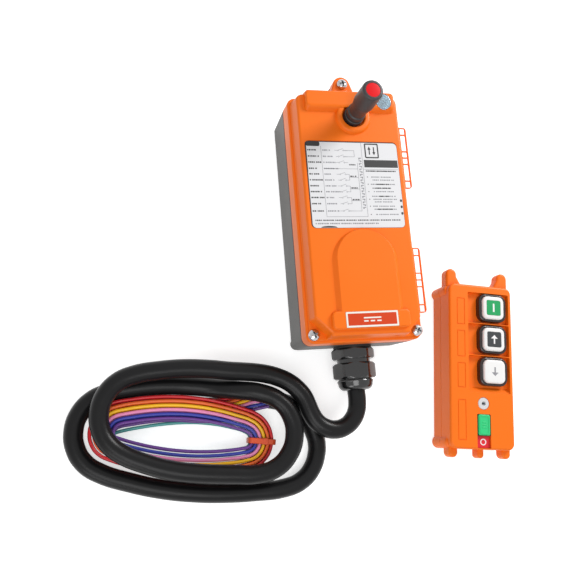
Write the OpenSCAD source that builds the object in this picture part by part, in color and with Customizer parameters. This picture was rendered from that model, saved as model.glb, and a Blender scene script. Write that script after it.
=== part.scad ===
// Crane radio remote control: a receiver box with a stub antenna, a cable gland
// and a coiled lead with coloured cores, and a hand transmitter, both lying on
// their backs on one plane. Millimetres, +Z up, +Y towards the antenna end.
// The origin is the centre of the receiver's back face.

/* [Receiver case] */
// Width over the cover's flange
box_w = 82; // [78:0.5:90]
// Length over the cover's flange
box_l = 173; // [168:0.5:180]
// Height of the grey rear case with its seal
case_h = 33.5; // [31:0.5:38]
// Height of the cover's outer flange
flange_h = 12.5; // [10:0.5:15]
// Height of the cover's inner wall above the flange
front_h = 13; // [11:0.5:16]
// Wall thickness of case and cover
wall = 2.6; // [2:0.1:3.4]
// Radius of the upright corners
corner_r = 6; // [4:0.5:8]
// Draft of the rear case on each side
case_draft = 1.2; // [0.5:0.1:2]
// Step from the flange to the inner wall, on each side
step_in = 1.8; // [1:0.1:2.6]
// Thickness of the seal between case and cover
seal_t = 0.8; // [0.6:0.1:1.2]

/* [Cover details] */
// Height of the raised block at the antenna end
top_block_h = 3.6; // [2.5:0.1:5]
// Length of the raised block at the antenna end
top_block_l = 14; // [11:0.5:17]
// Height of the tongue below the label
tongue_h = 2.4; // [1.6:0.1:3.2]
// Width of the tongue
tongue_w = 40; // [34:0.5:46]
// Height of the low block that carries the voltage plate
low_block_h = 2.6; // [1.8:0.1:3.6]
// Width of the low block
low_block_w = 54; // [48:0.5:60]
// Outer radius of the ring around the antenna hole
boss_r = 12.4; // [11.6:0.2:14.6]
// Radius of the hole the antenna stands in
antenna_hole_r = 8; // [7.6:0.1:9]
// Width of the wiring label
label_w = 66; // [60:0.5:70]
// Length of the wiring label
label_l = 61; // [56:0.5:66]
// Outreach of the slotted strips on the right side
strip_out = 5.4; // [4.4:0.1:6.6]
// Length of one slotted strip
strip_l = 46; // [40:0.5:50]

/* [Cover screws] */
// Shank diameter of a cover screw
screw_d = 4; // [3.5:0.1:5]
// Head diameter of a cover screw
screw_head_d = 7.6; // [7:0.1:9]
// Head height of a cover screw
screw_head_h = 2.8; // [2.2:0.1:3.4]
// Length of a cover screw under its head
screw_l = 30; // [24:1:36]
// Distance of the lug's screw beyond the flange
lug_out = 10.6; // [9:0.2:13]

/* [Antenna] */
// Diameter of the antenna's neck
antenna_neck_d = 11.8; // [10:0.2:13]
// Diameter of the antenna's flared head
antenna_head_d = 14.4; // [13:0.2:16]
// Height of the antenna above the cover's face
antenna_h = 40; // [34:0.5:52]
// Diameter of the red cap
antenna_cap_d = 9.2; // [8:0.2:11]

/* [Inside the case] */
// Thickness of the circuit boards
board_t = 1.6; // [1.2:0.1:2]
// Height of the board bosses over the floor
boss_h = 7; // [5:0.5:9]
// Width of a relay
relay_w = 15.5; // [14:0.5:17]
// Length of a relay
relay_l = 19; // [17:0.5:21]
// Height of a relay
relay_h = 15; // [12:0.5:17]

/* [Gland and cable] */
// Width across the flats of the gland's hexagons
gland_af = 27; // [24:0.5:28]
// Height of the gland's axis above the back face
gland_z = 17; // [16.5:0.5:19]
// Radius of the gland's thread
gland_thread_r = 11.2; // [10.5:0.1:12]
// Diameter of the cable
cable_d = 12.5; // [11:0.1:12.6]
// Diameter of one coloured core
core_d = 2.3; // [1.8:0.1:2.4]

/* [Transmitter] */
// Width of the transmitter
tx_w = 50; // [47:0.5:54]
// Length of the transmitter's body
tx_l = 118; // [112:0.5:124]
// Thickness of the transmitter
tx_h = 28; // [27:0.5:31]
// Wall thickness of the transmitter's shells
tx_wall = 2; // [1.6:0.1:2.6]
// Radius of the transmitter's upright corners
tx_corner_r = 5; // [3.5:0.5:7]
// Outreach of the horns past the upper end
horn_out = 12; // [9:0.5:15]
// Outreach of the feet past the lower end
foot_out = 6; // [4:0.5:8]
// Depth of the bays the buttons stand in
bay_depth = 4; // [3:0.1:4.4]

/* [Buttons and slider] */
// Side of a square button cap
cap_w = 17; // [15:0.2:18]
// Side of the rubber surround across the transmitter
boot_w = 22; // [20:0.2:23]
// Side of the rubber surround along the transmitter
boot_l = 20.4; // [19:0.2:21.5]
// Distance between buttons
button_pitch = 23.3; // [22.8:0.1:24.2]
// Travel of a button
button_travel = 1.5; // [1:0.1:1.6]
// Running clearance around moving pieces
clear = 0.3; // [0.2:0.05:0.4]
// Length of the green slider
key_l = 14.4; // [12:0.2:15]
// Width of the green slider
key_w = 9; // [8:0.2:10]
// Travel of the green slider
key_travel = 8.6; // [7:0.1:9]
// Diameter of a battery cell
cell_d = 14.2; // [13.6:0.1:14.4]
// Length of a battery cell
cell_l = 50; // [48:0.5:50.5]

/* [Hidden] */

$fn = 40;
over = 1;             // overrun of cuts
edge = 1;             // bevels and small insets
fit = 0.2;            // fitting clearance between fixed pieces
skin = 0.02;          // thickness of the slices that a tapered block is drawn between
eps_r = 0.15;         // radial clearance of a screw in its bore

// heights of the receiver
rim_z = case_h - seal_t;             // top of the rear case's rim
flange_z = case_h + flange_h;        // top of the flange
face_z = flange_z + front_h;         // the cover's face
right_in = 2.6;                      // further step of the inner wall on the right side
inner_w = box_w - 2 * step_in - right_in; // inner wall over its foot
inner_x = -right_in / 2;
inner_l = box_l - 2 * step_in;
face_in = 1.4;                       // taper of the inner wall on each side
face_w = inner_w - 2 * face_in;
face_l = inner_l - 2 * face_in;

// cover screws
pad_drop = 2;                        // pad height over the flange
pad_z = flange_z + pad_drop;
pad_w = 12.4;                        // corner pad across the box
pad_l = 15.5;                        // corner pad along the box
pad_cut = 11;                        // slanted side of a corner pad
screw_edge = 4.6;                    // screw axis from the flange's side edge
screw_end = 5.6;                     // screw axis from the flange's end edge
lug_r = 6.2;
lug_base_w = 24.5;
lug_h = 9;
screw_at = [[-(box_w / 2 - screw_edge), -(box_l / 2 - screw_end)],
            [box_w / 2 - screw_edge, -(box_l / 2 - screw_end)],
            [0, box_l / 2 + lug_out]];
post_r = 4.2;                        // radius of a screw post in the rear case
slot_w = 1.1;                        // recess of a screw head
slot_d = 1.4;

// face details
label_x = -1.6;
label_end = 67.7;                    // label's middle from the antenna end
label_y = box_l / 2 - label_end;
label_t = 0.5;
label_r = 3;
window_side = 17;                    // window from the right side
window_end = 8.3;                    // window from the antenna end
window_x = box_w / 2 - window_side;
window_y = box_l / 2 - window_end;
window_r = 5.6;
antenna_x = 1.5;
antenna_end = 19.1;                  // antenna from the antenna end
antenna_y = box_l / 2 - antenna_end;
boss_rise = 2.6;
top_block_in = 1;                    // draft of the raised block
top_block_side = 5.2;                // face beside the raised block
top_block_w = face_w + right_in - 2 * top_block_side;
low_block_end = 12.7;                // low block's middle from the gland end
low_block_y = low_block_end - box_l / 2;
low_block_l = 12;
block_draft = 0.8;
tongue_gap = 1.7;                    // tongue from the label
tongue_slope = 3;                    // slope of its sides, on plan
tongue_top_y = label_y - label_l / 2 - tongue_gap;
plate_w = 36;
plate_l = 10.2;
plate_t = 0.5;
notch_w = 3;
notch_x = 19;
notch_h = 1.6;
strip_t = 1.6;
strip_r = 1.2;
strip_ends = [42.7, 40.9];           // middles of the strips from the cover's ends
strip_y = [box_l / 2 - strip_ends[0], strip_ends[1] - box_l / 2];
strip_frame = 0.9;
strip_cell_shares = [0.1, 0.26, 0.09, 0.09, 0.26, 0.1]; // windows, as shares of the strip's length

// inside
board_z = wall + boss_h;
board_top = board_z + board_t;
board_side = 4.2;                    // board from the case's side wall
board_end = 8.7;                     // board from the case's end wall
board_w = box_w - 2 * (wall + case_draft + board_side);
board_l = box_l - 2 * (wall + case_draft + board_end);
board_y = -1;
board_hole = 4.5;                    // board screw from the board's edges
m3_r = 1.5;
m3_head_r = 2.8;
m3_head_h = 2;
m3_l = 6;
stand_r = 3.6;
relay_gap = 1.2;
relay_n = 3;
term_side = 4;                       // board beside the terminal block
term_w = board_w - 2 * term_side;
term_l = 11;
term_h = 12;
term_edge = 18;                      // terminal block from the board's lower end
term_y = board_y - board_l / 2 + term_edge;
term_n = 10;
term_hole_r = 1.7;
term_pitch_share = 0.095;            // pitch of the terminals, as a share of the block
choke_r = 9;
choke_h = 9;
capacitor_r = 6.3;
capacitor_h = 20;
fuse_l = 20;
fuse_r = 2.6;
clip_w = 7;
clip_l = 5;
clip_wall = 1;
radio_share = 0.515;
radio_w = board_w * radio_share;
radio_l = 16;
radio_edge = 15;                     // radio module from the board's upper end
radio_at = [0, board_y + board_l / 2 - radio_edge];
supply_gap = 24;                     // from the radio module to the row of supply parts
supply_y = radio_at[1] - supply_gap;
choke_x = -20;
choke_lift = 2;                      // choke past the row's middle
choke_at = [choke_x, supply_y + choke_lift];
capacitor_xs = [-3, 12];
fuse_x = 24;
fuse_at = [fuse_x, supply_y];
row_gap = 4;                         // between the supply parts and the relays
row_between = 2;                     // between the relays' rows
relay_y = supply_y - capacitor_r - row_gap - relay_l / 2;
relay_rows_y = [relay_y, relay_y - relay_l - row_between];
radio_can_h = 3.4;
led_r = 2.2;
led_h = 5;

// antenna
antenna_top = face_z + antenna_h;
head_l = 17;
cone_l = 8;
foot_l = 5;
cap_t = 0.8;
nut_r = 10;
nut_h = 3;
bush_r = 5;
bush_rise = 2;                       // bush above the seat's underside
lead_r = 1.1;

// gland
end_y = -box_l / 2;
gland_ac = gland_af / cos(30);
gland_turn = 12.5;                   // turn of the hexagons about the axis
washer_t = 1.5;
hex_l = 7.5;
neck_l = 2.5;
neck_r = 11.6;
nut_l = 11;
dome_l = 8;
dome_r = 9.6;
lock_t = 5;
lock_af = 24.4;                      // across the flats of the locknut
thread_l = 9;
cable_gap = 0.2;
hex1_y = end_y - washer_t - hex_l;
nut_y = hex1_y - neck_l;
dome_y = nut_y - nut_l;

// transmitter
tx_at = [93, -106];                  // centre of its body on the plane
tx_turn = -7;
tx_split = 13.5;                     // height of the joint between its shells
tx_edge = 1.4;                       // slant around its face
horn_x = 20.6;
horn_r = 4.2;
horn_w = 7;
bump_z = 19;
bump_r = 5;
knob_r = 4.5;
knob_out = 1.6;
knob_y = 54.5;
foot_x = [-20.6, 0.6, 20.6];
foot_rs = [3.4, 2.4, 3.4];
bay_left = -10;
bay_right = 22;
bay_top = 53.4;
bay_bottom = -15.4;
bay_ramp = 4.2;
rib_t = 1.2;
button_x = 9.2;
button_y = 42.6;
button_ys = [button_y, button_y - button_pitch, button_y - 2 * button_pitch];
bay_floor = tx_h - bay_depth;
bay_under = bay_floor - tx_wall;
boot_h = 4.6;
boot_r = 5.6;
cap_r = 4;
cap_out = 0.66;                      // a pressed cap over the face
cap_top = tx_h + cap_out + button_travel;
cap_bottom = bay_floor + button_travel + clear;
stem_d = 4;
inlay_w = 11;
inlay_t = 0.4;
line_w = 0.6;                        // engraved lines around the blank fields
line_d = 0.4;
field_x = -16;
field_w = 6.2;
field_ys = [[29, 48.4], [5.6, 24.6], [-16.4, 1.2], [-52.8, -24.8]];
win_at = [0.8, -27];
win_r = 4.2;
win_t = 1.8;
key_x = 0.8;
slot_top = -34.4;
slot_l = key_l + key_travel + 2 * clear;
slot_side = 0.5;                     // slot beside the slider, past the clearance
slot_wide = key_w + 2 * (clear + slot_side);
slot_depth = 2.1;
key_y = slot_top - clear - key_l / 2;
key_out = 1;
key_stem_w = 3;
key_stem_l = 4;
key_stem_dy = 3.6;
stop_l = 8.2;
stop_t = 0.4;
txb_z = 17;                          // underside of the transmitter's board
txb_top = txb_z + board_t;
sw_w = 10;
sw_h = 2.8;
sw_well = 2.2;
sw_top = txb_top + sw_h;
cover_t = 1.8;
cell_gap = 0.4;                      // from the cover to the cells
cell_z = cover_t + cell_gap + cell_d / 2;
cell_x = 7.6;
cell_end = 1.4;                      // from the lower end wall to the cells
cell_y = tx_wall + cell_end + cell_l / 2 - tx_l / 2;
contact_t = 0.5;
contact_w = 12;
cover_w = 33;
cover_lap = 7;                       // cover past the cells
cover_l = cell_l + cover_lap;
cover_y = -tx_l / 2;

// Plane shapes

module rounded(w, l, r) {
    square([w - 2 * r, l], center = true);
    square([w, l - 2 * r], center = true);
    for (x = [-1, 1], y = [-1, 1]) translate([x * (w / 2 - r), y * (l / 2 - r)]) circle(r);
}

module slab(w, l, h, r) linear_extrude(h) rounded(w, l, r);

// a block that narrows from its foot to its top
module tapered(w, l, w2, l2, h, r) hull() {
    slab(w, l, skin, r, $fn = 32);
    translate([0, 0, h - skin]) slab(w2, l2, skin, max(r - (w - w2) / 2, skin), $fn = 32);
}

// something that lies along -Y from y, on the gland's axis
module along_gland(y) translate([0, y, gland_z]) rotate([90, 0, 0]) children();

module in_tx() translate([tx_at[0], tx_at[1], 0]) rotate(tx_turn) children();

// Receiver

module pan_screw(d, head_d, head_h, l) {
    difference() {
        union() {
            translate([0, 0, -l]) cylinder(d = d, h = l);
            cylinder(d1 = head_d, d2 = head_d * head_top_share, h = head_h);
        }
        for (a = [0, 90]) rotate(a) translate([-head_d * slot_share / 2, -slot_w / 2, head_h - slot_d])
            cube([head_d * slot_share, slot_w, slot_d + over]);
    }
}
head_top_share = 0.7;                // top of a screw head, as a share of its foot
slot_share = 0.55;                   // cross recess, as a share of the head

module lug(h) linear_extrude(h) hull() {
    translate([0, box_l / 2 + lug_out]) circle(lug_r);
    translate([-lug_base_w / 2, box_l / 2 - corner_r]) square([lug_base_w, corner_r]);
}

module corner_pad(grow) {
    x1 = box_w / 2 - step_in + over;
    y1 = box_l / 2 + over;
    x0 = box_w / 2 - pad_w - grow;
    y0 = box_l / 2 - pad_l - grow;
    for (s = [-1, 1]) scale_x(s) polygon([[x0, -y1], [x0, -(y0 + pad_cut)], [x0 + pad_cut, -y0], [x1, -y0],
        [x1, -y1]]);
}

module scale_x(s) mirror([s < 0 ? 1 : 0, 0, 0]) children();

module board_posts() for (x = [-1, 1], y = [-1, 1])
    translate([x * (board_w / 2 - board_hole), board_y + y * (board_l / 2 - board_hole), 0]) children();

module rear_case() color([0.27, 0.27, 0.27]) difference() {
    union() {
        difference() {
            tapered(box_w - 2 * case_draft, box_l - 2 * case_draft, box_w, box_l, rim_z, corner_r);
            translate([0, 0, wall]) slab(box_w - 2 * case_draft - 2 * wall,
                box_l - 2 * case_draft - 2 * wall, rim_z, corner_r - wall);
        }
        translate([0, 0, rim_z - lug_h]) lug(lug_h);
        for (p = screw_at) translate([p[0], p[1], p[1] > 0 ? rim_z - lug_h : wall / 2])
            cylinder(r = p[1] > 0 ? lug_r - fit : post_r, h = p[1] > 0 ? lug_h : rim_z - wall / 2);
        board_posts() translate([0, 0, wall / 2]) cylinder(r = stand_r, h = board_z - wall / 2);
    }
    for (p = screw_at) translate([p[0], p[1], pad_z - screw_l - over])
        cylinder(d = screw_d + 2 * eps_r, h = screw_l + over);
    board_posts() translate([0, 0, board_top - m3_l - fit]) cylinder(r = m3_r + eps_r, h = m3_l + over);
    along_gland(end_y + 2 * wall) cylinder(r = gland_thread_r + eps_r, h = 3 * wall);
}

module case_seal() color([0.1, 0.1, 0.1]) translate([0, 0, rim_z]) linear_extrude(seal_t) difference() {
    union() {
        rounded(box_w - 2 * fit, box_l - 2 * fit, corner_r);
        translate([0, box_l / 2 + lug_out]) circle(lug_r - fit);
        translate([-lug_r + fit, box_l / 2 - wall]) square([2 * (lug_r - fit), lug_out + wall]);
    }
    difference() {
        rounded(box_w - 2 * wall, box_l - 2 * wall, corner_r - wall);
        for (p = screw_at) translate(p) circle(post_r);
    }
    for (p = screw_at) translate(p) circle(screw_d / 2 + eps_r);
}

module strip() difference() {
    translate([box_w / 2 + strip_out / 2 - wall / 4, 0, 0]) slab(strip_out + wall / 2, strip_l, strip_t, strip_r);
    for (i = [0:len(strip_cell_shares) - 1]) {
        before = sum([for (k = [0:i]) k < i ? strip_cell_shares[k] : 0]);
        gap = strip_l * (1 - sum(strip_cell_shares)) / (len(strip_cell_shares) + 1);
        translate([box_w / 2 + strip_frame / 2, -strip_l / 2 + gap * (i + 1) + before * strip_l, -over])
            cube([strip_out - 1.5 * strip_frame, strip_cell_shares[i] * strip_l, strip_t + 2 * over]);
    }
}

function sum(v, i = 0) = i < len(v) ? v[i] + sum(v, i + 1) : 0;

module tongue_plan(w, top_y) {
    translate([0, top_y - w / 2]) circle(w / 2, $fn = 60);
    translate([-w / 2, low_block_y]) square([w, top_y - w / 2 - low_block_y]);
}

// its sides slope down to the face, and are steeper at its round end
module tongue() hull() {
    translate([0, 0, face_z - wall / 2]) linear_extrude(wall / 2)
        tongue_plan(tongue_w + 2 * tongue_slope, tongue_top_y + tongue_gap / 2);
    translate([0, 0, face_z + tongue_h - skin]) linear_extrude(skin) tongue_plan(tongue_w, tongue_top_y);
}

module front_cover() color([1, 0.42, 0.07]) difference() {
    union() {
        difference() {
            union() {
                translate([0, 0, case_h]) slab(box_w, box_l, flange_h, corner_r);
                translate([inner_x, 0, flange_z]) tapered(inner_w, inner_l, face_w, face_l, front_h,
                    corner_r);
            }
            // the flange keeps a roof that reaches in to the inner wall
            translate([0, 0, case_h - over]) slab(box_w - 2 * wall, box_l - 2 * wall,
                flange_h - wall + over, corner_r - wall);
            translate([inner_x, 0, flange_z - wall - over]) slab(face_w - 2 * wall, face_l - 2 * wall,
                front_h + over, corner_r - wall);
        }
        // the raised block stands on the flange and closes the end wall
        translate([0, box_l / 2 - top_block_in - top_block_l / 2, face_z - wall])
            tapered(top_block_w, top_block_l, top_block_w - 2 * top_block_in,
                top_block_l - 2 * top_block_in, wall + top_block_h, wall);
        translate([0, box_l / 2 - top_block_in - wall, flange_z - wall / 2])
            translate([-top_block_w / 2 + top_block_in, -wall / 2, 0])
                cube([top_block_w - 2 * top_block_in, 2 * wall - wall / 2, front_h]);
        translate([antenna_x, antenna_y, face_z - wall]) cylinder(r = boss_r, h = wall + boss_rise);
        tongue();
        translate([0, low_block_y, face_z - wall / 2])
            tapered(low_block_w, low_block_l, low_block_w - 2 * block_draft, low_block_l - 2 * block_draft,
                wall / 2 + low_block_h, wall);
        translate([0, 0, case_h]) intersection() {
            linear_extrude(front_h + flange_h - skin) corner_pad(wall);
            translate([inner_x, 0, 0]) slab(inner_w - 2 * face_in, inner_l - 2 * face_in,
                front_h + flange_h, corner_r);
        }
        translate([0, 0, flange_z + pad_drop - lug_h]) lug(lug_h);
        for (y = strip_y) translate([0, y, flange_z - strip_t]) strip();
    }
    translate([0, 0, pad_z]) linear_extrude(front_h + over) corner_pad(0);
    for (p = screw_at) translate([p[0], p[1], case_h - over])
        cylinder(d = screw_d + 2 * eps_r, h = pad_z - case_h + 2 * over);
    translate([0, box_l / 2 + lug_out, pad_z]) cylinder(d = screw_head_d + 2 * fit,
        h = front_h + top_block_h);
    // seat of the antenna with the bush below it
    translate([antenna_x, antenna_y, face_z - wall + bush_rise / 2])
        cylinder(r = antenna_hole_r, h = wall + boss_rise);
    translate([antenna_x, antenna_y, face_z - 2 * wall]) cylinder(r = bush_r + eps_r, h = 3 * wall);
    translate([window_x, window_y, face_z - 2 * wall]) cylinder(r = window_r + fit,
        h = 3 * wall + top_block_h);
    translate([label_x, label_y, face_z - label_t]) slab(label_w + 2 * fit, label_l + 2 * fit, over, label_r);
    translate([0, low_block_y, face_z + low_block_h - plate_t])
        slab(plate_w + 2 * fit, plate_l + 2 * fit, over + tongue_h, fit);
    translate([notch_x, -box_l / 2 - over, pad_z + notch_h]) cube([notch_w, over + 2 * step_in, notch_h]);
}

module cover_screws() color([0.8, 0.8, 0.8]) for (p = screw_at) translate([p[0], p[1], pad_z])
    pan_screw(screw_d, screw_head_d, screw_head_h, screw_l - over);

module wiring_label() color([0.93, 0.93, 0.93])
    translate([label_x, label_y, face_z - label_t]) slab(label_w, label_l, label_t, label_r);

module voltage_plate() color([0.87, 0.2, 0.08])
    translate([0, low_block_y, face_z + low_block_h - plate_t])
        translate([-plate_w / 2, -plate_l / 2, 0]) cube([plate_w, plate_l, plate_t + skin]);

// clear dome with the light guide that carries it on the status light
module status_window() color([0.75, 0.88, 0.95, 0.6]) translate([window_x, window_y, 0]) {
    translate([0, 0, face_z - wall]) cylinder(r = window_r, h = wall + top_block_h + skin);
    translate([0, 0, face_z + top_block_h]) cylinder(r1 = window_r, r2 = window_r - edge, h = edge / 2);
    translate([0, 0, led_top]) cylinder(r = led_r, h = face_z - wall - led_top);
}
led_top = board_top + led_h;

module status_led() color([0.15, 0.25, 0.45]) translate([window_x, window_y - guide_shift, board_top]) {
    translate([-led_r, -led_r, 0]) cube([2 * led_r, 2 * led_r + guide_shift, led_h / 2]);
    translate([0, guide_shift, 0]) cylinder(r = led_r, h = led_h);
}
guide_shift = 6;

module antenna_socket() color([0.75, 0.62, 0.3]) translate([antenna_x, antenna_y, 0]) difference() {
    union() {
        translate([0, 0, face_z - wall - nut_h]) cylinder(r = bush_r, h = nut_h + bush_rise);
        translate([0, 0, face_z - wall - nut_h]) cylinder(r = nut_r, h = nut_h, $fn = 6);
    }
    translate([0, 0, face_z - wall - nut_h - over]) cylinder(r = lead_r + eps_r,
        h = nut_h + bush_rise + 2 * over);
}

module antenna_stub() color([0.22, 0.22, 0.22]) translate([antenna_x, antenna_y, 0]) {
    base = face_z - wall + bush_rise;
    neck_r = antenna_neck_d / 2;
    head_r = antenna_head_d / 2;
    rotate_extrude($fn = 48) polygon([
        [0, base], [antenna_hole_r - clear, base], [antenna_hole_r - clear, base + foot_l],
            [neck_r, base + foot_l],
        [neck_r, antenna_top - head_l - cone_l], [head_r, antenna_top - head_l], [head_r, antenna_top - edge],
        [head_r - edge, antenna_top], [antenna_cap_d / 2, antenna_top],
            [antenna_cap_d / 2, antenna_top - cap_t], [0, antenna_top - cap_t]]);
}

module antenna_cap() color([0.9, 0.05, 0.08]) translate([antenna_x, antenna_y, antenna_top - cap_t])
    cylinder(d = antenna_cap_d - fit, h = cap_t);

module antenna_lead() color([0.15, 0.15, 0.15]) translate([antenna_x, antenna_y, 0]) {
    top = face_z - wall - skin;
    translate([0, 0, board_top + board_t + radio_can_h]) cylinder(r = lead_r,
        h = top - board_top - board_t - radio_can_h);
}

module main_board() color([0.1, 0.4, 0.2]) difference() {
    translate([0, board_y, board_z]) slab(board_w, board_l, board_t, wall);
    board_posts() translate([0, 0, board_z - over]) cylinder(r = m3_r + eps_r, h = board_t + 2 * over);
}

module board_screws() color([0.75, 0.75, 0.75]) board_posts() translate([0, 0, board_top])
    pan_screw(2 * m3_r, 2 * m3_head_r, m3_head_h, m3_l);

module relays() color([0.15, 0.35, 0.7]) for (y = relay_rows_y, i = [0:relay_n - 1])
    translate([(i - (relay_n - 1) / 2) * (relay_w + relay_gap) - relay_w / 2, y - relay_l / 2, board_top])
        cube([relay_w, relay_l, relay_h]);

module terminal_block() color([0.2, 0.5, 0.25]) difference() {
    translate([-term_w / 2, term_y - term_l / 2, board_top]) cube([term_w, term_l, term_h]);
    for (i = [0:term_n - 1]) translate([(i - (term_n - 1) / 2) * term_pitch_share * term_w, term_y,
        board_top + term_h / 2]) {
        cylinder(r = term_hole_r, h = term_h);
        rotate([90, 0, 0]) cylinder(r = term_hole_r, h = term_l);
    }
}

module choke() color([0.55, 0.3, 0.12]) translate([choke_at[0], choke_at[1], board_top])
    rotate_extrude() polygon([[0, 0], [choke_r, 0], [choke_r, edge], [choke_r - 2 * edge, 2 * edge],
        [choke_r - 2 * edge, choke_h - 2 * edge],
        [choke_r, choke_h - edge], [choke_r, choke_h], [0, choke_h]]);

module capacitors() color([0.12, 0.14, 0.3]) for (x = capacitor_xs) translate([x, supply_y, board_top])
    cylinder(r = capacitor_r, h = capacitor_h);

module fuse_place() translate([fuse_at[0], fuse_at[1], board_top + clip_wall]) children();

module fuse_clips() color([0.8, 0.75, 0.6]) fuse_place() for (s = [-1, 1]) difference() {
    translate([-clip_w / 2, s * (fuse_l / 2 - clip_l / 2) - clip_l / 2, -clip_wall])
        cube([clip_w, clip_l, clip_wall + 2 * fuse_r]);
    translate([0, s * (fuse_l / 2 - clip_l / 2) + clip_l / 2 + over, fuse_r + clip_wall])
        rotate([90, 0, 0]) cylinder(r = fuse_r + eps_r, h = clip_l + 2 * over);
    translate([-fuse_r + clip_wall, s * (fuse_l / 2 - clip_l / 2) - clip_l, fuse_r + clip_wall])
        cube([2 * (fuse_r - clip_wall), 2 * clip_l, 2 * fuse_r]);
}

module fuse() color([0.85, 0.85, 0.8]) fuse_place() translate([0, fuse_l / 2, fuse_r + clip_wall])
    rotate([90, 0, 0]) cylinder(r = fuse_r, h = fuse_l);

module radio_module() color([0.65, 0.65, 0.68]) translate([radio_at[0], radio_at[1], board_top]) {
    translate([-radio_w / 2, -radio_l / 2, 0]) cube([radio_w, 1.5 * radio_l, board_t]);
    translate([-radio_w / 2 + edge, -radio_l / 2 + edge, board_t])
        cube([radio_w - 2 * edge, 1.5 * radio_l - 2 * edge, radio_can_h]);
}

// Gland

module gland_hex(l) rotate(gland_turn) cylinder(d = gland_ac, h = l, $fn = 6);

module gland_washer() color([0.08, 0.08, 0.08]) along_gland(end_y) difference() {
    cylinder(r = gland_af / 2 - fit, h = washer_t);
    translate([0, 0, -over]) cylinder(r = gland_thread_r + eps_r, h = washer_t + 2 * over);
}

module gland_body() color([0.07, 0.07, 0.07]) difference() {
    union() {
        along_gland(end_y + thread_l) cylinder(r = gland_thread_r, h = thread_l + washer_t + edge);
        along_gland(end_y - washer_t) gland_hex(hex_l);
        along_gland(hex1_y) cylinder(r = neck_r, h = neck_l + nut_l - 2 * edge);
    }
    along_gland(end_y + thread_l + over) cylinder(d = cable_d + 2 * cable_gap, h = box_l);
    along_gland(nut_y - edge) cylinder(r = neck_r - edge, h = box_l);
}

module gland_locknut() color([0.1, 0.1, 0.1]) along_gland(end_y + lock_y_in + lock_t) difference() {
    rotate(gland_turn) cylinder(d = lock_af / cos(30), h = lock_t, $fn = 6);
    translate([0, 0, -over]) cylinder(r = gland_thread_r + eps_r, h = lock_t + 2 * over);
}
lock_y_in = wall + case_draft;       // inner face of the end wall at the gland, from the flange

// soft insert between the cable and the clamping fingers
module gland_insert() color([0.12, 0.12, 0.12]) along_gland(nut_y - edge - fit) difference() {
    cylinder(r = neck_r - edge - fit, h = nut_l - 2 * edge);
    translate([0, 0, -over]) cylinder(d = cable_d + 2 * cable_gap, h = nut_l + over);
}

module gland_nut() color([0.08, 0.08, 0.08]) difference() {
    union() {
        along_gland(nut_y - fit) gland_hex(nut_l - fit);
        along_gland(dome_y + edge) rotate_extrude($fn = 48)
            polygon([[0, 0], [gland_af / 2 - fit, 0], [gland_af / 2 - fit, 2 * edge],
            [gland_af / 2 - edge, dome_l / 2], [dome_r + edge, dome_l], [dome_r, dome_l + edge],
                [0, dome_l + edge]]);
    }
    along_gland(nut_y + over) cylinder(r = neck_r + eps_r, h = nut_l + over);
    along_gland(nut_y) cylinder(d = cable_d + 2 * cable_gap, h = box_l);
}

// Cable and cores

// The coil is an oval spiral, turned on the plane about its middle. Its sides
// in their order, right, upper, left, lower and so on, from that middle.
coil_at = [-109, -134];
coil_turn = -8.6;
coil_sides = [75.2, 38.2, -65.2, -28.9, 62.4, 27, -79.8, -41.6, 82.4, 22.5, 13.6];
coil_bend = 26.4;                    // radius of its ends
coil_steps = 3;                      // rings on each arc; a quarter has two arcs
coil_high = 19.8;                    // axis of the upper layer
coil_low = 6.4;                      // axis of the lower layer
coil_drop_shares = [0.87, 0.99];     // where it goes down, in turns

function smooth(u) = (1 - cos(180 * max(0, min(1, u)))) / 2;
function on_coil(p, z) = [coil_at[0] + p[0] * cos(coil_turn) - p[1] * sin(coil_turn),
    coil_at[1] + p[0] * sin(coil_turn) + p[1] * cos(coil_turn), z];

// An oval of four arcs, with half-length a, half-width b and end radius r:
// how far from its middle the centre of a long arc lies, half the angle of that
// arc, and the point whose outward direction is w.
function long_centre(a, b, r) = ((a - r) * (a - r) - (b - r) * (b - r)) / (2 * (b - r));
function long_angle(a, b, r) = atan2(a - r, long_centre(a, b, r));
function on_oval(a, b, r, w) = let (k = long_centre(a, b, r))
    abs(sin(w)) > cos(long_angle(a, b, r)) ? [(k + b) * cos(w), (k + b) * sin(w) - k * sign(sin(w))] :
        [(a - r) * sign(cos(w)) + r * cos(w), r * sin(w)];
// outward direction at share u of quarter q, half of the share on each arc
function outward(q, u, long) = let (first = q % 2 == 0 ? long : 90 - long)
    90 + 90 * q + (u < 0.5 ? 2 * u * first : first + (2 * u - 1) * (90 - first));

function coil_z(t) = coil_high - (coil_high - coil_low) * smooth((t - coil_drop_shares[0])
    / (coil_drop_shares[1] - coil_drop_shares[0]));
function coil_point(i) = let (q = floor(i / (2 * coil_steps)), u = i / (2 * coil_steps) - q,
    s = coil_sides, even = q % 2 == 0,
    x = even ? [s[q], s[q + 2]] : [s[q + 1], s[q + 3]],
    y = even ? [s[q + 1], s[q + 3]] : [s[q], s[q + 2]],
    a = abs(x[0] - x[1]) / 2,
    b = abs(y[0] - y[1]) / 2,
    p = on_oval(a, b, coil_bend, outward(q, u, long_angle(a, b, coil_bend))))
    on_coil([(x[0] + x[1]) / 2 + p[0], (y[0] + y[1]) / 2 + p[1]], coil_z(i / (8 * coil_steps)));

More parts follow.
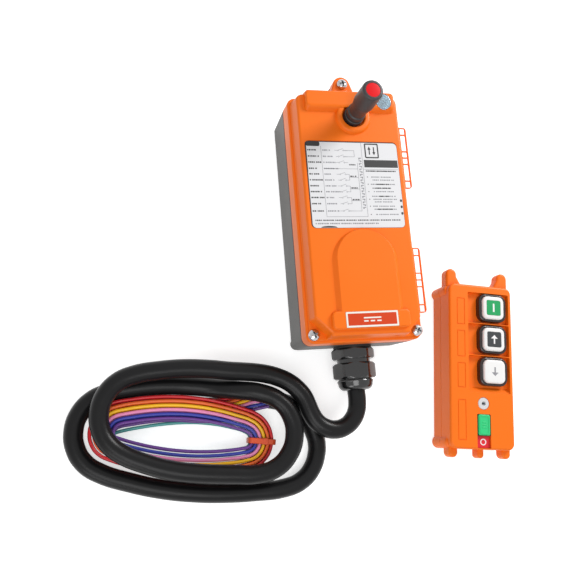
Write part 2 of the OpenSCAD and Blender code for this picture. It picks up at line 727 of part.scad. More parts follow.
coil_quarters = len(coil_sides) - 3;
coil_start = [(coil_sides[0] + coil_sides[2]) / 2 + edge, coil_sides[1]];
coil_end = [(coil_sides[coil_quarters] + coil_sides[coil_quarters + 2]) / 2, coil_sides[coil_quarters + 1]];
coil_points = concat([on_coil(coil_start, coil_high)], [for (i = [0:coil_quarters * 2 * coil_steps - 1])
    coil_point(i)],
    [on_coil(coil_end, coil_low), on_coil(coil_end - [2 * edge, 0], coil_low)]);

// Route of the cable's free stretch: out of the gland, a tight turn back and
// over to the start of the coil. Real sizes, [x, y, z].
lead_run = 9;                        // straight stretch before the coil
lead_points = concat([[0, -76, 17], [0, -90, 17], [0, -104, 17], [0, -118, 17], [0, -124, 17.1],
    [-1.4, -131, 17.4], [-5.3, -137, 17.8], [-11, -141, 18.2], [-18, -142.4, 18.6], [-25, -140.6, 19],
    [-30.8, -136.4, 19.3], [-34.4, -130.6, 19.6], [-36.6, -124.6, 19.7], [-39, -118.6, 19.8],
    [-43.1, -113.2, 19.8], [-48.6, -108.4, 19.8], [-55.4, -104.8, 19.8], [-63, -102.2, 19.8],
    [-71.4, -100.5, 19.8], [-80.2, -99.4, 19.8]],
    [on_coil(coil_start + [lead_run, 0], coil_high), on_coil(coil_start, coil_high)]);

function unit(v) = v / norm(v);
function heading(p, i) = unit(p[min(i + 1, len(p) - 1)] - p[max(i - 1, 0)]);
// rings around each point, upright to the route
function ring(p, i, r, n) = let (t = heading(p, i), s = unit(cross([0, 0, 1], t)), v = cross(t, s))
    [for (k = [0:n - 1]) let (w = 360 * (k + 0.5) / n) p[i] + r * (cos(w) * s + sin(w) * v)];

module tube(p, d, n) {
    m = len(p);
    pts = concat([for (i = [0:m - 1]) each ring(p, i, d / 2, n)], [p[0], p[m - 1]]);
    faces = concat(
        [for (i = [0:m - 2], k = [0:n - 1]) [i * n + k, (i + 1) * n + k, (i + 1) * n + (k + 1) % n]],
        [for (i = [0:m - 2], k = [0:n - 1]) [i * n + k, (i + 1) * n + (k + 1) % n, i * n + (k + 1) % n]],
        [for (k = [0:n - 1]) [m * n, k, (k + 1) % n]],
        [for (k = [0:n - 1]) [m * n + 1, (m - 1) * n + (k + 1) % n, (m - 1) * n + k]]);
    polyhedron(pts, faces);
}

// least gap of a tube to itself, between points that lie further apart along it than six diameters
function run_to(p) = [for (i = 0, s = 0; i < len(p); s = s + (i + 1 < len(p) ? norm(p[i + 1] - p[i]) : 0),
    i = i + 1) s];
function finer(p) = [for (i = [0:len(p) - 2], u = [0, 0.25, 0.5, 0.75]) p[i] + (p[i + 1] - p[i]) * u];
function least_gap(p, d) = let (q = finer(p), s = run_to(q))
    min([for (i = [0:len(q) - 2]) for (j = [i + 1:len(q) - 1]) if (s[j] - s[i] > 6 * d) norm(q[i] - q[j])])
        - d;

module cable_lead() color([0.06, 0.06, 0.07]) {
    echo("cable_lead gap", least_gap(lead_points, cable_d));
    tube(lead_points, cable_d, 10);
}

module cable_coil() color([0.06, 0.06, 0.07]) {
    echo("cable_coil gap", least_gap(coil_points, cable_d), "rings", len(coil_points));
    tube(coil_points, cable_d, 10);
}

// The cores lie in one flat hank: each has its lane across the hank and its
// layer; the hank is an oval on the coil's own middle and turn.
hank_sides = [50, 18.7, -70.6, -30.4]; // right, upper, left and lower side of the outermost lane
hank_bend = 19;                      // radius of its ends
lane = 2.7;                          // distance between lanes
layer = 2.76;
lanes_n = 6;
core_foot = 1.3;                     // centre of the lowest layer
core_start = [coil_end[0] - 2 * edge - 2 * clear, coil_end[1], coil_low]; // where the cores leave the cable's end
hank_spread = 0.25;                  // how far the lanes part at the left end
hank_rings = 24;
first_turn = 0.02;
// how far round each core runs, in turns
core_turn_shares = [1.18, 1.19, 1.22, 1.25, 1.29, 1.28, 1.18, 1.2, 1.23, 1.27, 1.3, 1.3];
climb_shares = [0.42, 0.62];         // where on its turn a core climbs to its second layer
// the way from the cable's end to the hank: places along it, widening of the
// lanes, zigzag of neighbours, descent, and shift to the lane
way_shares = [0, 0.09, 0.18, 0.28, 0.48, 0.74];
widen_shares = [0, 0.6, 0.9, 1, 1, 1];
zigzag_shares = [1, 0.7, 0.3, 0, 0, 0];
descent_shares = [0, 0.45, 0.9, 1, 1, 1];
shift_shares = [0, 0.03, 0.13, 0.36, 0.8, 0.98];
mouth_lane = 1.88;                   // distance between cores in the cable's end
mouth_zigzag = 0.85;
mouth_layer = 3.4;
wander_x = 0.8;                      // how far the hank strays from its oval
wander_y = 0.6;
drift = [[0, 4.6], [1.6, 0]];        // inward stray of each layer at the upper left
drift_share = 0.12;                  // middle of that stray, in turns

hank_a = (hank_sides[0] - hank_sides[2]) / 2;
hank_b = (hank_sides[1] - hank_sides[3]) / 2;
// point on the hank at turn t (0 at the back, then left, front, right), d inside its outermost lane
function hank_point(t, d) = let (f = (t % 1) * 4, q = floor(f),
    p = on_oval(hank_a - d, hank_b - d, hank_bend - d, outward(q, f - q,
    long_angle(hank_a, hank_b, hank_bend))))
    [(hank_sides[0] + hank_sides[2]) / 2 + p[0], (hank_sides[1] + hank_sides[3]) / 2 + p[1]];
function lane_in(i, t) = (i % lanes_n) * (lane + hank_spread * (1 - cos(360 * (t - 0.75))) / 2);
function core_z(i, t) = core_foot + floor(i / lanes_n) * 2 * layer + layer * smooth((t - climb_shares[0])
    / (climb_shares[1] - climb_shares[0]));
function wander(i, t) = let (near = max(0, cos(360 * (t - drift_share))))
    [wander_x * sin(360 * t + 40), wander_y * sin(720 * t + 100)
        - drift[floor(i / lanes_n)][t < 0.5 ? 0 : 1] * near * near];

function core_lead(i) = let (g = floor(i / lanes_n), k = i % lanes_n,
    e = hank_point(first_turn, lane_in(i, first_turn)) + wander(i, first_turn))
    [for (j = [0:len(way_shares) - 1]) let (
        v0 = core_start[1] + ((lanes_n - 1) / 2 - k) * (mouth_lane + (lane - mouth_lane) * widen_shares[j]),
        z0 = core_start[2] + (g - 0.5) * mouth_layer + (k % 2 == 1 ? 1 : -1)
            * mouth_zigzag * zigzag_shares[j])
        on_coil([core_start[0] + (e[0] - core_start[0]) * way_shares[j], v0 + (e[1] - v0)
            * shift_shares[j]], z0 + (core_z(i, 0) - z0) * descent_shares[j])];

function core_points(i) = let (n = ceil(core_turn_shares[i] * hank_rings))
    concat(core_lead(i), [for (j = [0:n]) let (t = first_turn + (core_turn_shares[i] - first_turn) * j / n)
        on_coil(hank_point(t, lane_in(i, t)) + wander(i, t), core_z(i, t))]);

module core(i) {
    p = core_points(i);
    echo("core gap", i, least_gap(p, core_d));
    tube(p, core_d, 6);
}

module core_brown() color([0.45, 0.22, 0.16]) core(0);
module core_red() color([0.8, 0.05, 0.08]) core(6);
module core_orange() color([0.93, 0.4, 0.1]) core(7);
module core_yellow() color([0.98, 0.75, 0.05]) core(8);
module core_green() color([0.05, 0.35, 0.2]) core(2);
module core_teal() color([0.35, 0.7, 0.68]) core(5);
module core_blue() color([0.18, 0.22, 0.6]) core(10);
module core_violet() color([0.4, 0.2, 0.5]) core(11);
module core_grey() color([0.6, 0.6, 0.65]) core(4);
module core_white() color([0.93, 0.93, 0.95]) core(3);
module core_black() color([0.08, 0.08, 0.08]) core(1);
module core_pink() color([0.95, 0.55, 0.75]) core(9);

tie_gap = 0.5;
tie_t = 1.6;
tie_w = 4;
// a band around the hank at its right end
module core_tie() color([0.88, 0.3, 0.12]) {
    c = wander(0, 0.75);
    x_out = hank_sides[0] + c[0] + core_d / 2 + tie_gap;
    x_in = hank_sides[0] + c[0] - (lanes_n - 1) * lane - core_d / 2 - tie_gap;
    y = (hank_sides[1] + hank_sides[3]) / 2 + c[1];
    z_low = core_foot + layer - core_d / 2 - tie_gap;
    z_top = core_foot + 3 * layer + core_d / 2 + tie_gap;
    translate(coil_at) rotate(coil_turn) translate([0, y + tie_w / 2, 0]) rotate([90, 0, 0])
        linear_extrude(tie_w) difference() {
        translate([(x_in + x_out) / 2, (z_low + z_top) / 2])
            rounded(x_out - x_in + 2 * tie_t, z_top - z_low + 2 * tie_t, 2 * tie_t);
        translate([(x_in + x_out) / 2, (z_low + z_top) / 2]) rounded(x_out - x_in, z_top - z_low, tie_t);
    }
}

// Transmitter

module tx_outline(grow) rounded(tx_w - 2 * grow, tx_l - 2 * grow, tx_corner_r - grow);

module horn(s) scale_x(s) translate([horn_x, tx_l / 2 - corner_r, bump_z - bump_r])
    linear_extrude(2 * bump_r - 2 * clear) {
    translate([0, corner_r + horn_out - horn_r]) circle(horn_r);
    translate([-horn_r, 0]) square([2 * horn_r, corner_r + horn_out - horn_r]);
    polygon([[-horn_r, 0], [-horn_r - horn_w, 0], [-horn_r - horn_w / 2, corner_r],
        [-horn_r, corner_r + horn_out / 2]]);
}

module tx_front() color([1, 0.42, 0.07]) in_tx() difference() {
    union() {
        difference() {
            union() {
                translate([0, 0, tx_split]) linear_extrude(tx_h - tx_split - tx_edge) tx_outline(0);
                translate([0, 0, tx_h - tx_edge]) tapered(tx_w, tx_l, tx_w - 2 * tx_edge,
                    tx_l - 2 * tx_edge, tx_edge, tx_corner_r);
                for (s = [-1, 1]) horn(s);
                for (i = [0:len(foot_x) - 1]) translate([foot_x[i], -tx_l / 2 - foot_out + foot_rs[i],
                    bump_z - bump_r]) {
                    cylinder(r = foot_rs[i], h = 2 * bump_r - 2 * clear);
                    translate([-foot_rs[i], 0, 0]) cube([2 * foot_rs[i], foot_out, 2 * bump_r - 2 * clear]);
                }
                for (x = [-1, 1], y = [-1, 1]) translate([x * (tx_w / 2 + knob_out - knob_r), y * knob_y,
                    tx_split])
                    cylinder(r = knob_r, h = bump_z + bump_r - tx_split - 2 * clear);
            }
            translate([0, 0, tx_split - over]) linear_extrude(bay_under - tx_split + over)
                tx_outline(tx_wall);
        }
    }
    // bays of the buttons, with their ribs left standing
    difference() {
        union() {
            translate([bay_left, bay_bottom, bay_floor]) cube([bay_right - bay_left, bay_top - bay_bottom,
                bay_depth + over]);
            translate([bay_left, bay_bottom, 0]) rotate([90, 0, 90]) linear_extrude(bay_right - bay_left)
                polygon([[0, bay_floor], [0, tx_h + over], [-bay_ramp - over * bay_ramp / bay_depth,
                    tx_h + over]]);
        }
        for (y = [button_ys[0] - button_pitch / 2, button_ys[1] - button_pitch / 2])
            translate([bay_left - over, y - rib_t / 2, 0]) cube([bay_right - bay_left + 2 * over, rib_t,
                tx_h - clear]);
    }
    for (y = button_ys) translate([button_x, y, bay_under - over])
        cylinder(d = stem_d + 2 * fit, h = tx_wall + 2 * over);
    // slot of the slider and the gap its stem runs in
    translate([key_x - slot_wide / 2, slot_top - slot_l, tx_h - slot_depth])
        cube([slot_wide, slot_l, slot_depth + over]);
    translate([key_x - key_stem_w / 2 - fit, key_y + key_stem_dy - key_stem_l / 2 - key_travel - fit,
        bay_under - over])
        cube([key_stem_w + 2 * fit, key_stem_l + key_travel + 2 * fit, tx_h]);
    translate([win_at[0], win_at[1], tx_h - win_t]) cylinder(r = win_r + fit, h = win_t + over);
    translate([win_at[0], win_at[1], bay_under - over]) cylinder(r = win_r / 2, h = tx_h);
    for (f = field_ys) translate([field_x, (f[0] + f[1]) / 2, tx_h - line_d]) linear_extrude(line_d + over)
        difference() {
        square([field_w, f[1] - f[0]], center = true);
        square([field_w - 2 * line_w, f[1] - f[0] - 2 * line_w], center = true);
    }
}

module tx_back() color([0.98, 0.4, 0.07]) in_tx() difference() {
    union() {
        linear_extrude(tx_split) tx_outline(0);
        for (x = [-1, 1], y = [-1, 1]) translate([x * (tx_w / 2 + knob_out - knob_r), y * knob_y, 0])
            cylinder(r = knob_r, h = tx_split);
    }
    translate([0, 0, tx_wall]) linear_extrude(tx_split) difference() {
        tx_outline(tx_wall);
        // ledges that carry the board
        for (x = [-1, 1]) translate([x * (tx_w / 2 - tx_wall), 0]) square([2 * tx_wall, tx_l], center = true);
    }
    // bay of the cells, and the track of their cover through the lower end
    translate([-cover_w / 2 - fit, cover_y - over, -over]) cube([cover_w + 2 * fit, cover_l + over + fit,
        cover_t + over + fit]);
    translate([-cover_w / 2 + tx_wall, cell_y - cell_l / 2 - 2 * contact_t - fit, -over])
        cube([cover_w - 2 * tx_wall, cell_l + 4 * contact_t + 2 * fit, tx_split + 2 * over]);
}

module tx_board() color([0.1, 0.4, 0.2]) in_tx() difference() {
    union() {
        translate([0, 0, txb_z]) linear_extrude(board_t) tx_outline(tx_wall + fit);
        // feet on the back shell's ledges
        for (x = [-1, 1], y = [-1, 1]) translate([x * (tx_w / 2 - 1.6 * tx_wall),
            y * (tx_l / 2 - 5 * tx_wall), tx_split]) cylinder(r = tx_wall / 2, h = txb_z - tx_split);
    }
    translate([key_x - key_stem_w, key_y, txb_z - over]) cylinder(r = edge, h = board_t + 2 * over);
}

module tx_switches() color([0.12, 0.12, 0.12]) in_tx() for (y = button_ys) difference() {
    translate([button_x - sw_w / 2, y - sw_w / 2, txb_top]) cube([sw_w, sw_w, sw_h]);
    translate([button_x, y, sw_top - sw_well]) cylinder(d = stem_d + 2 * fit, h = sw_well + over);
}

module tx_surrounds() color([0.07, 0.06, 0.06]) in_tx() for (y = button_ys)
    translate([button_x, y, bay_floor]) linear_extrude(boot_h) difference() {
    rounded(boot_w, boot_l, boot_r);
    rounded(cap_w + 2 * clear, cap_w + 2 * clear, cap_r + clear);
}

module button(i, inlay) in_tx() translate([button_x, button_ys[i], 0]) difference() {
    union() {
        translate([0, 0, cap_bottom]) slab(cap_w, cap_w, cap_top - cap_bottom - edge, cap_r);
        translate([0, 0, cap_top - edge]) tapered(cap_w, cap_w, cap_w - edge, cap_w - edge, edge, cap_r);
        translate([0, 0, sw_top - 2 * fit]) cylinder(d = stem_d, h = cap_bottom - sw_top + 3 * fit);
    }
    if (inlay) translate([0, 0, cap_top - inlay_t]) slab(inlay_w + fit, inlay_w + fit, over, edge + fit / 2);
}

module inlay(i) in_tx() translate([button_x, button_ys[i], cap_top - inlay_t])
    slab(inlay_w, inlay_w, inlay_t, edge);

module button_top() color([0.95, 0.95, 0.94]) button(0, true);
module button_middle() color([0.95, 0.95, 0.94]) button(1, true);
module button_bottom() color([0.95, 0.95, 0.94]) button(2, false);
module inlay_top() color([0, 0.6, 0.3]) inlay(0);
module inlay_middle() color([0.2, 0.22, 0.23]) inlay(1);

module tx_window() color([0.85, 0.85, 0.85, 0.6]) in_tx() translate([win_at[0], win_at[1], 0]) {
    translate([0, 0, tx_h - win_t]) cylinder(r = win_r, h = win_t);
    translate([0, 0, txb_top]) cylinder(r = win_r / 2 - fit, h = tx_h - win_t - txb_top);
}

module slide_key() color([0.1, 0.72, 0.35]) in_tx() {
    z0 = tx_h - slot_depth + stop_t + clear;
    translate([key_x - key_w / 2, key_y - key_l / 2, z0]) cube([key_w, key_l, tx_h + key_out - z0]);
    translate([key_x - key_stem_w / 2, key_y + key_stem_dy - key_stem_l / 2, sw_top - sw_well / 2])
        cube([key_stem_w, key_stem_l, z0 - sw_top + sw_well / 2]);
}

module slide_switch() color([0.12, 0.12, 0.12]) in_tx() difference() {
    translate([key_x - sw_w / 2, key_y + key_stem_dy - key_travel - sw_w / 2, txb_top])
        cube([sw_w, key_travel + sw_w, sw_h]);
    translate([key_x - key_stem_w / 2 - fit, key_y + key_stem_dy - key_stem_l / 2 - key_travel - fit,
        sw_top - sw_well])
        cube([key_stem_w + 2 * fit, key_stem_l + key_travel + 2 * fit, sw_well + over]);
}

module stop_field() color([0.85, 0.08, 0.13]) in_tx()
    translate([key_x - slot_wide / 2 + fit, slot_top - slot_l + fit, tx_h - slot_depth])
        cube([slot_wide - 2 * fit, stop_l, stop_t]);

module battery_cells() color([0.15, 0.3, 0.5]) in_tx() for (x = [-1, 1])
    translate([x * cell_x, cell_y, cell_z]) rotate([90, 0, 0])
    cylinder(d = cell_d, h = cell_l, center = true);

module battery_contacts() color([0.78, 0.78, 0.74]) in_tx() for (s = [-1, 1])
    translate([-cell_x - contact_w / 2, cell_y + s * (cell_l / 2 + contact_t / 2) - contact_t / 2,
        cell_z - contact_w / 2]) cube([2 * cell_x + contact_w, contact_t, contact_w]);

module battery_cover() color([0.95, 0.38, 0.06]) in_tx() difference() {
    translate([-cover_w / 2, cover_y, 0]) cube([cover_w, cover_l, cover_t]);
    // finger ribs
    for (i = [1:4]) translate([-cover_w / 4, cover_y + cover_l / 3 + 2 * i * edge, -over])
        cube([cover_w / 2, edge, over + line_d]);
}

rear_case();
case_seal();
front_cover();
cover_screws();
wiring_label();
voltage_plate();
status_window();
status_led();
antenna_socket();
antenna_stub();
antenna_cap();
antenna_lead();
main_board();
board_screws();
relays();
terminal_block();
choke();
capacitors();
fuse_clips();
fuse();
radio_module();
gland_washer();
gland_body();
gland_locknut();
gland_insert();
gland_nut();
cable_lead();
cable_coil();
core_brown();
core_red();
core_orange();
core_yellow();
core_green();
core_teal();
core_blue();
core_violet();
core_grey();
core_white();
core_black();
core_pink();
core_tie();
tx_front();
tx_back();
tx_board();
tx_switches();
tx_surrounds();
button_top();
button_middle();
button_bottom();
inlay_top();
inlay_middle();
tx_window();
slide_key();
slide_switch();
stop_field();
battery_cells();
battery_contacts();
battery_cover();
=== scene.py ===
"""Crane radio remote control: a receiver box with a coiled lead, and a hand transmitter."""

import math

import bmesh
import bpy
from mathutils import Matrix, Vector


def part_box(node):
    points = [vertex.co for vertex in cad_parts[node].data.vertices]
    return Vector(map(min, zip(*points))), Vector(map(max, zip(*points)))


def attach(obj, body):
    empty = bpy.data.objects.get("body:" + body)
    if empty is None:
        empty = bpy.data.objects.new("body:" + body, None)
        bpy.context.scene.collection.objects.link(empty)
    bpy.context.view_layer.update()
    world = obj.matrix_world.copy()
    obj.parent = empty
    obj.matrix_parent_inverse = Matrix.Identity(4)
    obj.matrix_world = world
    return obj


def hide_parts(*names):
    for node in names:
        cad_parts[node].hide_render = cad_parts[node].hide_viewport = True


bl_info = {
    "name": "Crane radio remote control",
    "version": (1, 0, 0),
    "blender": (4, 5, 0),
    "location": "View3D > Sidebar > Remote",
    "description": "Dresses the frame of a crane's radio remote control",
    "category": "Add Mesh",
}

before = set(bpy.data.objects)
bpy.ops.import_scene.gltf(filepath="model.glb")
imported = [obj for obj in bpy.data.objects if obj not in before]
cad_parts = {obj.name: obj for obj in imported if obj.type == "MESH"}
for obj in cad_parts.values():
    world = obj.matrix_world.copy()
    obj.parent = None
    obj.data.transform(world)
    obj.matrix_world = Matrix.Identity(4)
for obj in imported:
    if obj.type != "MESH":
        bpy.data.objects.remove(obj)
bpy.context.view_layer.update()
BOXES = {name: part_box(name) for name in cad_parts}
TINY = 0.00002


def length(name, text, value):
    """A size in metres that a user can change."""
    return bpy.props.FloatProperty(name=name, description=text, default=value, unit="LENGTH", precision=5)


def colour(name, text, value):
    """A colour that a user can change."""
    return bpy.props.FloatVectorProperty(
        name=name, description=text, default=value, size=3, min=0, max=1, subtype="COLOR")


def number(name, text, value):
    """A plain number that a user can change."""
    return bpy.props.FloatProperty(name=name, description=text, default=value)


class ReceiverSizes(bpy.types.PropertyGroup):
    """Sizes of the receiver box."""
    width: length("Width", "Width over the cover's flange", 0.082)
    length: length("Length", "Length over the cover's flange", 0.173)
    corner: length("Corner radius", "Radius of the upright corners", 0.006)
    draft: length("Draft", "Draft of the rear case on each side", 0.0012)
    wall: length("Wall", "Wall thickness of case and cover", 0.0026)
    step: length("Step", "Step from the flange to the inner wall", 0.0018)
    taper: length("Taper", "Taper of the inner wall", 0.0014)
    right: length("Right step", "Further step of the inner wall on the right side", 0.0026)
    flange_top: length("Flange top", "Height of the flange's upper face", 0.046)
    face: length("Face", "Height of the cover's face", 0.059)
    block: length("Raised block", "Rise of the block at the antenna end", 0.0036)
    round_edge: length("Rounding", "Rounding of the cover's upper edges", 0.0016)
    pad: length("Pad", "Height of the corner pads", 0.048)


class TransmitterSizes(bpy.types.PropertyGroup):
    """Sizes of the hand transmitter."""
    width: length("Width", "Width of the body", 0.050)
    length: length("Length", "Length of the body", 0.118)
    height: length("Height", "Thickness of the body", 0.028)
    split: length("Split", "Height of the joint between the shells", 0.0135)
    corner: length("Corner radius", "Radius of the upright corners", 0.005)
    wall: length("Wall", "Wall thickness", 0.002)
    bay: length("Bay", "Depth of the button bays", 0.004)
    pitch: length("Pitch", "Distance between buttons", 0.0233)
    cap: length("Cap", "Side of a button cap", 0.017)


class CableSizes(bpy.types.PropertyGroup):
    """Sizes of the cable and its cores."""
    cable: length("Cable", "Diameter of the cable", 0.0125)
    core: length("Core", "Diameter of one core", 0.0023)
    gland: length("Gland", "Width across the gland's flats", 0.027)
    axis: length("Gland axis", "Height of the gland's axis", 0.017)


class Finishes(bpy.types.PropertyGroup):
    """Colours of the finishes."""
    orange: colour("Orange", "Moulded orange plastic", (0.90, 0.165, 0.004))
    case_grey: colour("Case grey", "Rear case", (0.068, 0.066, 0.061))
    black: colour("Black", "Gland and cable", (0.008, 0.008, 0.0085))
    stub: colour("Stub", "Antenna stub", (0.030, 0.028, 0.029))
    cap_red: colour("Cap red", "Disc on the antenna", (0.74, 0.003, 0.008))
    label: colour("Label", "Printed label", (0.71, 0.71, 0.725))
    ink: colour("Ink", "Print on the label", (0.012, 0.012, 0.013))
    plate: colour("Plate", "Field of the voltage plate", (0.62, 0.052, 0.008))
    white: colour("White", "Button caps", (0.80, 0.80, 0.79))
    green: colour("Green", "Start inlay", (0.0, 0.32, 0.09))
    key_green: colour("Key green", "Slider", (0.02, 0.56, 0.19))
    charcoal: colour("Charcoal", "Dark inlay", (0.025, 0.03, 0.033))
    stop_red: colour("Stop red", "Field under the slider", (0.66, 0.008, 0.02))


class StageSettings(bpy.types.PropertyGroup):
    """Light and floor."""
    floor: colour("Floor", "Colour of the floor", (0.80, 0.80, 0.80))
    glow: number("Floor glow", "White that the camera sees on top of the lit floor", 0.62)
    sky: number("Sky", "Strength of the even light", 0.62)
    key: number("Key", "Power of the key lamp in watts", 11.0)
    lens: number("Lens", "Focal length in millimetres", 43.52)


def sizes(kind):
    """One of the groups of sizes on the scene."""
    return getattr(bpy.context.scene, "remote_" + kind)


# Outlines

def rect(width, depth, x=0.0, y=0.0):
    """Corners of a rectangle about (x, y), anticlockwise."""
    w, d = width / 2, depth / 2
    return [(x - w, y - d), (x + w, y - d), (x + w, y + d), (x - w, y + d)]


def arc(x, y, r, steps, start=0.0, sweep=math.pi, tall=None):
    """Points on an arc about (x, y); an oval one has a second radius, tall, along y."""
    high = r if tall is None else tall
    angles = [start + sweep * k / steps for k in range(steps + 1)]
    return [(x + r * math.cos(a), y + high * math.sin(a)) for a in angles]


def circle(x, y, r, count, tall=None):
    """Points of a full circle or oval about (x, y)."""
    return arc(x, y, r, count, sweep=2 * math.pi, tall=tall)[:-1]


def turn_of(points, i):
    """1 where the outline turns outwards at a corner, -1 where it turns inwards."""
    a, b, c = (Vector(points[(i + k) % len(points)]) for k in (-1, 0, 1))
    return 1 if (b - a).cross(c - b) > 0 else -1


def inset(points, depth):
    """The outline moved inwards by depth."""
    moved = []
    for i, p in enumerate(points):
        before = (Vector(p) - Vector(points[i - 1])).normalized()
        after = (Vector(points[(i + 1) % len(points)]) - Vector(p)).normalized()
        n = Vector((-before.y, before.x))
        m = Vector((-after.y, after.x))
        moved.append(tuple(Vector(p) + (n + m) * (depth / (1 + n.dot(m)))))
    return moved


def each_corner(radius, points):
    """One radius for each corner of the outline."""
    return radius if isinstance(radius, (list, tuple)) else [radius] * len(points)


def rounded(points, radius, count=6):
    """The outline with an arc of count steps at each corner."""
    made = []
    for i, (p, wanted) in enumerate(zip(points, each_corner(radius, points))):
        corner = Vector(p)
        back = Vector(points[i - 1]) - corner
        ahead = Vector(points[(i + 1) % len(points)]) - corner
        a, b = back.normalized(), ahead.normalized()
        half = a.angle(b) / 2
        # the arc keeps to its own half of the shorter side
        r = max(min(wanted, 0.48 * min(back.length, ahead.length) * math.tan(half)), TINY)
        centre = corner + (a + b).normalized() * (r / math.sin(half))
        start = corner + a * (r / math.tan(half)) - centre
        sweep = (math.pi - 2 * half) * turn_of(points, i)
        for k in range(count + 1):
            w = sweep * k / count
            made.append(centre + Vector((start.x * math.cos(w) - start.y * math.sin(w),
                                         start.x * math.sin(w) + start.y * math.cos(w))))
    return made


def level(points, height):
    """The flat outline at a height."""
    return [Vector((p[0], p[1], height)) for p in points]


def rings(points, radius, levels, count=6):
    """Closed rings of the outline at each (height, inset) level."""
    radii = each_corner(radius, points)
    turns = [turn_of(points, i) for i in range(len(points))]
    made = []
    for height, depth in levels:
        shrunk = [max(r - depth * t, TINY) for r, t in zip(radii, turns)]
        made.append(level(rounded(inset(points, depth), shrunk, count), height))
    return made


def edge_up(height, radius, steps=4):
    """Levels of a rounded upper edge that ends at height."""
    angles = [math.pi / 2 * i / steps for i in range(steps + 1)]
    return [(height - radius + radius * math.sin(a), radius - radius * math.cos(a)) for a in angles]


def edge_down(height, radius, steps=4):
    """Levels of a rounded lower edge that starts at height."""
    angles = [math.pi / 2 * i / steps for i in range(steps + 1)]
    return [(height + radius - radius * math.cos(a), radius - radius * math.sin(a)) for a in angles]


# Meshes

def loft(bm, loops, closed=False):
    """Skins a row of rings. A closed one joins its last ring to its first, and others get end faces."""
    rows = [[bm.verts.new(p) for p in loop] for loop in loops]
    pairs = list(zip(rows, rows[1:])) + ([(rows[-1], rows[0])] if closed else [])
    for low, high in pairs:
        for k in range(len(low)):
            m = (k + 1) % len(low)
            bm.faces.new((low[k], low[m], high[m], high[k]))
    if not closed:
        bm.faces.new(list(reversed(rows[0])))
        bm.faces.new(rows[-1])


def solid(bm, place=None):
    """An object from the mesh under construction."""
    if place is not None:
        bm.transform(place)
    bmesh.ops.recalc_face_normals(bm, faces=bm.faces)
    mesh = bpy.data.meshes.new("draft")
    bm.to_mesh(mesh)
    bm.free()
    made = bpy.data.objects.new("draft", mesh)
    bpy.context.scene.collection.objects.link(made)
    return made


def skinned(loops, place=None, closed=False):
    """A solid through a row of rings."""
    bm = bmesh.new()
    loft(bm, loops, closed)
    return solid(bm, place)


def prism(points, radius, levels, count=6, place=None):
    """A solid of the outline with rounded corners, through its (height, inset) levels."""
    return skinned(rings(points, radius, levels, count), place)


def plain_prism(points, levels, place=None):
    """The same for an outline that is round already."""
    return skinned([level(inset(points, d), z) for z, d in levels], place)


def spun(profile, x=0.0, y=0.0, segments=48, place=None, closed=False):
    """A solid turned about an upright axis from a profile of (radius, height)."""
    return skinned([level(circle(x, y, max(r, TINY), segments), z) for r, z in profile], place, closed)


def combine(base, others, operation):
    """Adds the others to the base, or cuts them from it."""
    for other in others:
        step = base.modifiers.new(operation.lower(), "BOOLEAN")
        step.operation = operation
        step.solver = "EXACT"
        step.object = other
    shown = base.evaluated_get(bpy.context.evaluated_depsgraph_get())
    mesh = bpy.data.meshes.new_from_object(shown)
    base.modifiers.clear()
    base.data = mesh
    for other in others:
        bpy.data.objects.remove(other)


def dress(made, name, material, body, nodes=(), angle=32, flat=True):
    """Names a piece, gives it its finish and its place on a body, and smooths its round faces."""
    made.name = name
    made.data.name = name
    made.data.materials.clear()
    made.data.materials.append(material)
    made.data.shade_smooth()
    made.data.set_sharp_from_angle(angle=math.radians(angle))
    if flat:
        weigh = made.modifiers.new("even faces", "WEIGHTED_NORMAL")
        weigh.keep_sharp = True
    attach(made, body)
    if nodes:
        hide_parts(*nodes)


# Finishes

def noise(tree, place, scale, detail):
    """A noise texture in the object's own space."""
    made = tree.nodes.new("ShaderNodeTexNoise")
    made.inputs["Scale"].default_value = scale
    made.inputs["Detail"].default_value = detail
    tree.links.new(place.outputs["Object"], made.inputs["Vector"])
    return made.outputs["Fac"]


def finish(name, tint, roughness, mottle_and_painted_reflection=0.05, grain=0.25, grain_size=0.0006, patch=0.03,
           metallic=0.0, transmission=0.0, coat=0.0, ior=1.5, shine=0.5):
    """A finish: colour that varies in patches (a little, as the thing's own uneven tone, and strongly on the
    chrome, as painted reflection), uneven gloss, and a fine grain in relief.
    """
    made = bpy.data.materials.new(name)
    made.use_nodes = True
    tree = made.node_tree
    nodes, links = tree.nodes, tree.links
    shader = nodes["Principled BSDF"]
    for socket, value in (("Metallic", metallic), ("Transmission Weight", transmission),
                          ("Coat Weight", coat), ("Coat Roughness", 0.08), ("IOR", ior),
                          ("Specular IOR Level", shine)):
        shader.inputs[socket].default_value = value
    place = nodes.new("ShaderNodeTexCoord")
    patches = noise(tree, place, 1 / patch, 5)
    # lighter and darker patches of colour: the thing's own uneven tone, and on the chrome painted reflection
    tone_and_reflection_colours = nodes.new("ShaderNodeMix")
    tone_and_reflection_colours.data_type = "RGBA"
    tone_and_reflection_colours.inputs[6].default_value = (*[max(0.0, c * (1 - mottle_and_painted_reflection)) for c in tint], 1)
    tone_and_reflection_colours.inputs[7].default_value = (*[min(1.0, c * (1 + mottle_and_painted_reflection)) for c in tint], 1)
    links.new(patches, tone_and_reflection_colours.inputs[0])
    links.new(tone_and_reflection_colours.outputs[2], shader.inputs["Base Color"])
    spread = 0.06
    gloss = nodes.new("ShaderNodeMapRange")
    gloss.inputs["To Min"].default_value = max(0.02, roughness - spread)
    gloss.inputs["To Max"].default_value = min(1.0, roughness + spread)
    links.new(patches, gloss.inputs["Value"])
    links.new(gloss.outputs["Result"], shader.inputs["Roughness"])
    relief = nodes.new("ShaderNodeBump")
    relief.inputs["Strength"].default_value = grain
    relief.inputs["Distance"].default_value = grain_size * 0.2
    links.new(noise(tree, place, 1 / grain_size, 3), relief.inputs["Height"])
    links.new(relief.outputs["Normal"], shader.inputs["Normal"])
    return made


finishes = {}


